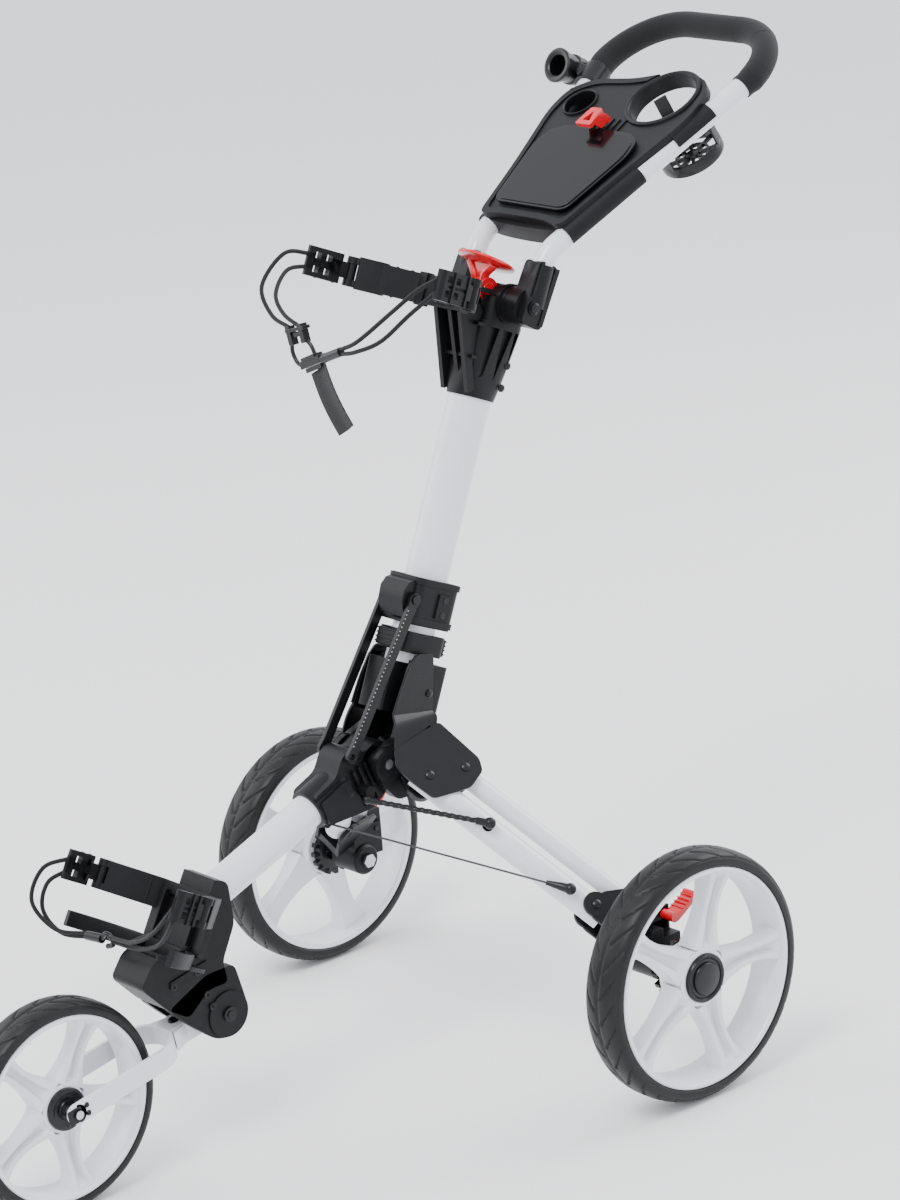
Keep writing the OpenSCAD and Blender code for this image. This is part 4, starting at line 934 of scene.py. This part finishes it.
# ---------- handle and console ----------
HANDLE_Y, HALF_LOW, HALF_HIGH, LIFT, BEND = 451.4, 57, 122, 31.2, 80
KNEE = Vector((HALF_LOW, 54.4, LIFT))
SHOULDER = Vector((HALF_HIGH, HANDLE_Y - BEND, LIFT))


def loop_arc(n=20):
    c = Vector((HALF_HIGH - BEND, HANDLE_Y - BEND, LIFT))
    return [c + BEND * Vector((math.cos(a), math.sin(a), 0)) for a in (math.pi / 2 * k / n
        for k in range(n + 1))]


def tube_point(t):
    return KNEE.lerp(SHOULDER, t)


def handle():
    foot = Vector((HALF_LOW, 14, 2.5))
    a, b = foot.lerp(KNEE, 0.62), KNEE.lerp(SHOULDER, 0.06)
    knee = [arc_point(a, KNEE, b, k / 10) for k in range(11)]
    up = [foot] + knee + [KNEE.lerp(SHOULDER, t) for t in (0.3, 0.6, 0.93)]
    half = up + loop_arc()
    other = [mirrored(p) for p in reversed(half)]
    piece("handle_loop", "handle", "white_tube", [tube(half + other, 12.5, 40)], HANDLE,
        replaces=["handle_tube"])
    arc = loop_arc(24)
    lead = [SHOULDER.lerp(KNEE, 0.045), SHOULDER.lerp(KNEE, 0.02)]
    way = lead + arc + [Vector((x, HANDLE_Y, LIFT)) for x in (40, 20, 0)]
    way += [mirrored(p) for p in reversed(way[:-1])]
    steps = len(way) - 1

    def thick(t):
        edge = min(t, 1 - t) * steps
        r = 15.5 if edge > 1 else 14.2
        return circle(r, 40)
    seam = []
    for k in (5, 16, 27, len(way) - 6, len(way) - 17):
        p, q = way[k], way[k + 1]
        d = (q - p).normalized()
        seam.append(sweep([p - d * 0.9, p, p + d * 0.9], lambda t: circle(15.25 + 0.5
            * math.sin(math.pi * t), 40)))
    grip = piece("foam_grip", "handle", "foam", [sweep(way, thick), *seam], HANDLE,
        replaces=["handle_grip"])


def knuckles():
    rise, lean = Vector((0.815, 0.579)), Vector((-0.579, 0.815))
    outline = [tuple(rise * a + lean * b) for a, b in ((-23, -18), (12, -22), (52, -21), (54, 8),
        (14, 12), (-20, 13))]
    plate = slab(outline, 7, 44.6, 68.4, "x")
    back = [tuple(rise * a + lean * b) for a, b in ((-18, -19), (50, -24), (50, -17), (-18, -13))]
    socket = tube([(57, 4, -3.5), (57, 44, 24.7)], 15.5, 48)
    drum = disc(21, 40.6, 60, along="x", n=72)
    lip = prism(back, 50, 69.6, "x")
    bore = tube([Vector((57, 14, 2.5)) - Vector((0, 40.4, 28.7)) * 0.02, (57, 54.4, 31.2)], 12.55, 48)
    screw = disc(5.05, 0, 120, along="x", n=32)
    room = disc(60, 0, 40.4, along="x", n=72)
    shapes = [carve(s, bore, screw, room) for s in (plate, socket, drum, lip)]
    rim_out = [tuple(rise * a + lean * b) for a, b in ((12, 4), (51, 2), (51, 5.5), (12, 8))]
    band = [prism(rim_out, 66, 69.8, "x")]
    piece("hinge_knuckles", "handle", "black_casting", both_sides(shapes + band), HANDLE, bevel=1.1,
        replaces=["handle_knuckles"])
    bolt = [disc(5, -71, 71, along="x", n=32)]
    for s in SIDES:
        bolt.append(moved(lathe([(0, 4.6), (4, 4.2), (6.4, 1.8), (6.6, 0), (0, 0)], 40),
            (s * 70.6, 0, 0), (0, s * 90, 0)))
        bolt.append(disc(8.2, *span(s, 68.8, 70.7), along="x", n=40))
    piece("hinge_screw", "frame", "black_steel", bolt, HANDLE, replaces=["hinge_bolt"])
    small = [moved(lathe([(0, 3.6), (3.6, 3.2), (5.2, 0), (0, 0)], 28), (s * 68.2, 33, 20),
        (0, s * 90, 0)) for s in SIDES]
    piece("knuckle_screws", "handle", "black_steel", small, HANDLE)


def lock_lever():
    steps = 40
    dish = [(math.cos(a), math.sin(a)) for a in (2 * math.pi * k / steps for k in range(steps))]
    rings = [(0.04, 1.6), (0.55, 1.9), (0.85, 2.9), (0.97, 3.4), (1.0, 2.2), (0.97, 0.0), (0.8, -1.6),
        (0.5, -2.8), (0.04, -3.2)]
    points = [(37 * f * x, 33 * f * y, z) for f, z in rings for x, y in dish]
    ends = [tuple(range(steps)), tuple(range((len(rings) - 1) * steps, len(rings) * steps))]
    wing = moved((points, ends + ring_faces(steps, len(rings))), (0, -3, 29), (-11, 0, 0))
    stems = [sweep(curve([(s * 6, -3, 6), (s * 9, -8, 16), (s * 20, -8, 28)], 6),
        lambda t: soft([(-3.5, -5), (3.5, -5), (3.5, 5), (-3.5, 5)], 2), up=(0, -1, 0.4)) for s in SIDES]
    web = sweep(curve([(0, -3, 8), (0, -8, 17), (0, -8, 28)], 6),
        lambda t: [(-4 - 14 * t, -1.5), (4 + 14 * t, -1.5), (4 + 14 * t, 1.5), (-4 - 14 * t, 1.5)],
        up=(0, -1, 0.4))
    cam = [disc(13.6, -12.4, 12.4, along="x", n=48), disc(8, -12.9, 12.9, along="x", n=36)]
    at = COLUMN @ Matrix.Translation((0, LEVER_Y, HEAD_Z + 10))
    piece("lever_wing", "lock_lever", "red", [wing, *stems, web, *cam], at, bevel=0.8,
        replaces=["lock_lever"])


TRAY = [(-68, 82), (-40, 88), (40, 88), (68, 82), (86, 170), (108, 262), (110, 300), (96, 336),
    (60, 352), (20, 346), (-20, 330), (-80, 322), (-108, 300), (-110, 262), (-86, 170)]
CUP, POCKET = (46, 304.4), (-72, 280.4)
LID = [(-60, 103), (60, 103), (79, 202), (72, 228), (52, 238), (-52, 238), (-72, 228), (-79, 202)]


def scaled(outline, f, middle=(0, 168)):
    return [(middle[0] + (x - middle[0]) * f, middle[1] + (y - middle[1]) * f) for x, y in outline]


def console():
    bores = [pin(KNEE, SHOULDER, 12.6, 48), pin(mirrored(KNEE), mirrored(SHOULDER), 12.6, 48)]
    cup_hole = disc(42, 20, 60, CUP, n=96)
    pocket_hole = disc(20, 25.2, 60, POCKET, n=72)
    well = slab([(-44, 106.4), (44, 106.4), (44, 226.4), (-44, 226.4)], 6, 30, 60)
    deck = carve(prism(soft(TRAY, 18), 39.2, 49.6), *bores, cup_hole, pocket_hole, well)
    deck_edge = carve(prism(soft(TRAY, 18), 49.5, 51.6), prism(soft(scaled(TRAY, 0.93, (0, 210)), 18),
        40, 60), disc(52, 20, 60, CUP, n=96))
    ring = moved(lathe([(42, -8), (42, 11.4), (43.4, 13.2), (45.6, 13.6), (48, 12.6), (49, 10), (49, -4),
        (47, -8)], 120), (*CUP, 39.2))
    bowl = moved(lathe([(20, -14), (20, 12), (21, 13.2), (22.4, 13), (23, 11), (23, -18), (0.001, -18),
        (0.001, -14)], 96), (*POCKET, 39.2))
    tub = carve(box((100, 132, 24), (0, 166.4, 38)), well, *bores)
    wraps = []
    for s in (1, -1):
        for a, b in ((0.1, 0.45), (0.62, 0.8)):
            p, q = tube_point(a), tube_point(b)
            shape = sweep([p, p.lerp(q, 0.5), q], circle(15.3, 48), up=(0, 0, 1))
            shape = shape if s > 0 else flipped(shape)
            below = [box((400, 700, 30), (0, 200, 11 if a < 0.5 else 18))]
            wraps.append(carve(shape, *bores, *below))
    skirt = sweep(curve([(-66, 88, 34), (-40, 85, 33), (0, 84, 32.5), (40, 85, 33), (66, 88, 34)], 5),
        [(-3, -13), (3, -13), (3, 9), (-3, 9)], up=(0, 0, 1))
    ribs = [prism([(x, 236), (x + 3, 236), (x + 3, 262), (x, 262)], 49.4, 51.2)
        for x in range(-40, 30, 10)]
    piece("console_body", "handle", "black_casting", [deck, deck_edge, ring, bowl, tub, *wraps,
        carve(skirt, *bores), *ribs], HANDLE, bevel=0.9, replaces=["console_tray"])
    lid = prism(soft(LID, 14, 8), 51.9, 55.4)
    panel = prism(soft(scaled(LID, 0.95), 13, 8), 55.3, 56.6)
    barrels = [disc(2, *span(s, 18, 40), (105, 53.6), "x", 32) for s in SIDES]
    piece("lid_panel", "console_lid", "gloss_black", [lid, panel, *barrels], HANDLE, bevel=1.2, steps=4,
        replaces=["console_lid"])
    at = HANDLE @ Matrix.Translation((-4, 244.4, 54.6))
    wedge = slab([(-13, -21), (13, -21), (9, 8), (-9, 8)], 3, 14.5, 19.5)
    wedge = carve(wedge, slab([(-6, -14), (6, -14), (0, 2)], 1.2, 5, 30))
    side = [slab([(-14, 14), (-8, 3), (8, 3), (9, 10), (2, 19), (-18, 19)], 2, *span(s, 8, 11.5), "x")
        for s in SIDES]
    foot = box((24, 6, 6), (0, 6, 5))
    piece("latch_wedge", "lid_latch", "red", [wedge, *side, foot], at, bevel=0.9, replaces=["lid_latch"])
    at = HANDLE @ Matrix.Translation((*CUP, 39.2))
    base = [lathe([(35, -78), (38.6, -77), (39, -75), (39, -64), (38, -62), (35.6, -62), (35, -64)], 96),
        lathe([(0, -76.5), (8, -76.5), (9, -76), (9, -72), (8, -71.5), (0, -71.5)], 48),
        lathe([(19, -77.5), (22, -77.5), (22, -72.6), (19, -72.6)], 72)]
    base += [moved(box((28, 4, 5), (22, 0, -75)), turn=(0, 0, 45 * k)) for k in range(8)]
    straps = []
    for k in range(3):
        turn = 120 * k + 30
        strap = sweep(curve([(37.5, 0, -66), (37.6, 0, -50), (38.6, 0, -30), (39.6, 0, -9)], 4),
            soft([(-8, -1.3), (8, -1.3), (8, 1.3), (-8, 1.3)], 1), up=(1, 0, 0))
        straps.append(moved(strap, turn=(0, 0, turn)))
    piece("cup_floor", "handle", "hub_black", [*base, *straps], at, bevel=0.6, replaces=["cup_base"])
    socket_at = HANDLE @ Matrix.Translation((-144, 338.4, LIFT + 14)) @ Matrix.Rotation(math.radians(38),
        4, "X")
    horn = [lathe([(13, -12), (13, 22), (16, 24), (19.5, 24), (21, 22.6), (20.6, 19), (17.6, 10),
        (17, 2), (17, -16), (13, -17), (0.001, -17), (0.001, -12)], 72),
        lathe([(17, -6), (18.6, -5), (18.6, -1), (17, 0)], 72)]
    piece("umbrella_horn", "handle", "hub_black", horn, socket_at, replaces=["umbrella_socket"])
    a, b = mirrored(tube_point(0.86)), mirrored(tube_point(0.95))
    clamp = carve(sweep([a, b], circle(17, 48)), bores[1])
    arm = sweep(curve([(-119, 340, 42), (-130, 339, 46), (-142, 338, 45)], 4),
        soft([(-7, -5), (7, -5), (7, 5), (-7, 5)], 2), up=(0, 0, 1))
    piece("umbrella_clamp", "handle", "hub_black", [clamp, arm], HANDLE, bevel=0.8)


# ---------- bungees ----------
CORD_R = 2.5


def rope(name, body, path):
    way = curve(path, 8)
    cord = piece(name, body, "cord", [tube(way, CORD_R, 14)], GROUND)


def bungees():
    rope("upper_cord_1", "frame", [(-111.5, -102.6, 941), (-124, -132, 946), (-124, -168, 916),
        (-98, -178, 888), (-65, -178, 877)])
    rope("upper_cord_2", "frame", [(-111.5, -108, 928), (-114, -138, 929), (-100, -168, 910),
        (-76, -178, 892), (-46, -178, 880)])
    rope("upper_cord_3", "frame", [(19, -178, 864), (44, -172, 876), (76, -146, 908), (96, -124, 930),
        (111, -103, 941)])
    rope("upper_cord_4", "frame", [(19, -178, 859), (42, -176, 864), (68, -160, 876), (92, -136, 904),
        (111, -108, 928)])
    slant = (0, -16, 0)
    slider = [moved(box((8, 9, 22)), (x, -178, z), slant) for x, z in ((-65, 869), (-43, 875))]
    slider += [moved(box((24, 5, 6)), (-54, -178, 872), slant), moved(box((34, 11, 4)), (-54, -178, 878),
        slant)]
    links = [tube(curve([(-65, -178, 862), (-66, -178, 850), (-58, -178, 838), (-46, -178, 836)], 5),
        2.4, 12), tube(curve([(-41, -178, 868), (-32, -178, 862), (-26, -178, 852)], 5), 2.4, 12)]
    body = [moved(box((38, 11, 9)), (-31, -178, 844), (0, -22, 0)),
        moved(box((26, 13, 4)), (-33, -178, 849), (0, -22, 0)), moved(box((30, 6, 5)), (-28, -178, 837),
        (0, -22, 0))]
    sleeve = [tube([(-14, -178, 849), (20, -178, 862)], 5.4, 24)]
    piece("bungee_hook", "frame", "hub_black", [*slider, *links, *body, *sleeve], GROUND, bevel=0.7,
        replaces=["bungee_fittings", "upper_bungee"])
    rope("lower_cord_1", "front_arm", [(-98, -524, 346), (-116, -552, 338), (-118, -570, 304),
        (-92, -560, 274), (-58, -540, 271)])
    rope("lower_cord_2", "front_arm", [(-98, -531, 334), (-110, -552, 322), (-110, -562, 294),
        (-88, -556, 270), (-58, -540, 267)])
    rope("lower_cord_3", "front_arm", [(-20, -536, 274), (20, -538, 280), (60, -540, 300),
        (88, -538, 326), (98, -524, 346)])
    rope("lower_cord_4", "front_arm", [(-20, -534, 269), (24, -534, 272), (66, -536, 288),
        (92, -538, 314), (98, -531, 334)])
    lower = tube([(-60, -541, 269), (-36, -538, 270)], 5.4, 24)
    hook = tube(curve([(-38, -538, 270), (-30, -537, 277), (-21, -536, 274), (-21, -535, 266),
        (-30, -536, 262)], 5), 3, 16)
    piece("lower_hook", "front_arm", "hub_black", [lower, hook], GROUND, replaces=["lower_bungee"])
    pull_tab()


def pull_tab():
    """Webbing tab: it hangs from the hook's body and bows a little."""
    cols, rows, thick = 7, 16, 1.6
    top, fall, across = Vector((-22, -178, 837)), Vector((40, 0, -65)), Vector((25.6, 0, 15.8))
    front = []
    for j in range(rows + 1):
        t = j / rows
        for i in range(cols + 1):
            s = i / cols - 0.5
            bow = 3 * math.sin(math.pi * t) - 1.2 * math.cos(2 * math.pi * s)
            front.append(top + fall * t + across * s - Y * bow)
    w, n = cols + 1, len(front)
    faces = []
    for j in range(rows):
        for i in range(cols):
            a = j * w + i
            faces += [(a, a + 1, a + w + 1, a + w), (n + a, n + a + w, n + a + w + 1, n + a + 1)]
    edge = ([i for i in range(w)] + [j * w + cols for j in range(1, rows + 1)]
        + [rows * w + i for i in range(cols - 1, -1, -1)] + [j * w for j in range(rows - 1, 0, -1)])
    for a, b in zip(edge, edge[1:] + edge[:1]):
        faces.append((a, n + a, n + b, b))
    points = [tuple(p) for p in front] + [tuple(p + Y * thick) for p in front]
    webbing = piece("pull_tab", "frame", "cord", [(points, faces)], GROUND)


# ---------- everything ----------
def carried_nodes():
    slots = {s["node"]: s["material_slot"] for s in frame["record"]["subparts"]}
    for name, obj in frame["nodes"].items():
        for holder in obj.material_slots:
            holder.material = MATERIALS[slots[name]]


def studio():
    low = START_BOUNDS[0]
    bpy.ops.mesh.primitive_plane_add(size=60, location=(0, 0, low[2] - 0.0005))
    floor = bpy.context.object
    floor.name = "floor"
    floor.data.materials.append(material("floor", (0.88, 0.88, 0.88), (0.5, 0.65), bump=0.02, wear=0.01))
    world = bpy.data.worlds.new("studio")
    bpy.context.scene.world = world
    world.use_nodes = True
    back = world.node_tree.nodes["Background"]
    back.inputs["Color"].default_value = (0.93, 0.95, 1.0, 1)
    back.inputs["Strength"].default_value = 1.7
    add_light("key", (1.0, -2.4, 4.2), 1.6, 150)
    add_light("fill", (-3.0, -1.6, 2.2), 3.0, 60)
    add_light("rim", (0.6, 3.2, 2.6), 2.4, 90)


add_camera()
carried_nodes()
studio()
wheels()
upper_casting()
lower_column()
hub()
front_arm()
front_block()
upper_cradle()
lower_cradle()
fork()
legs()
carriers()
handle()
knuckles()
lock_lever()
console()
bungees()
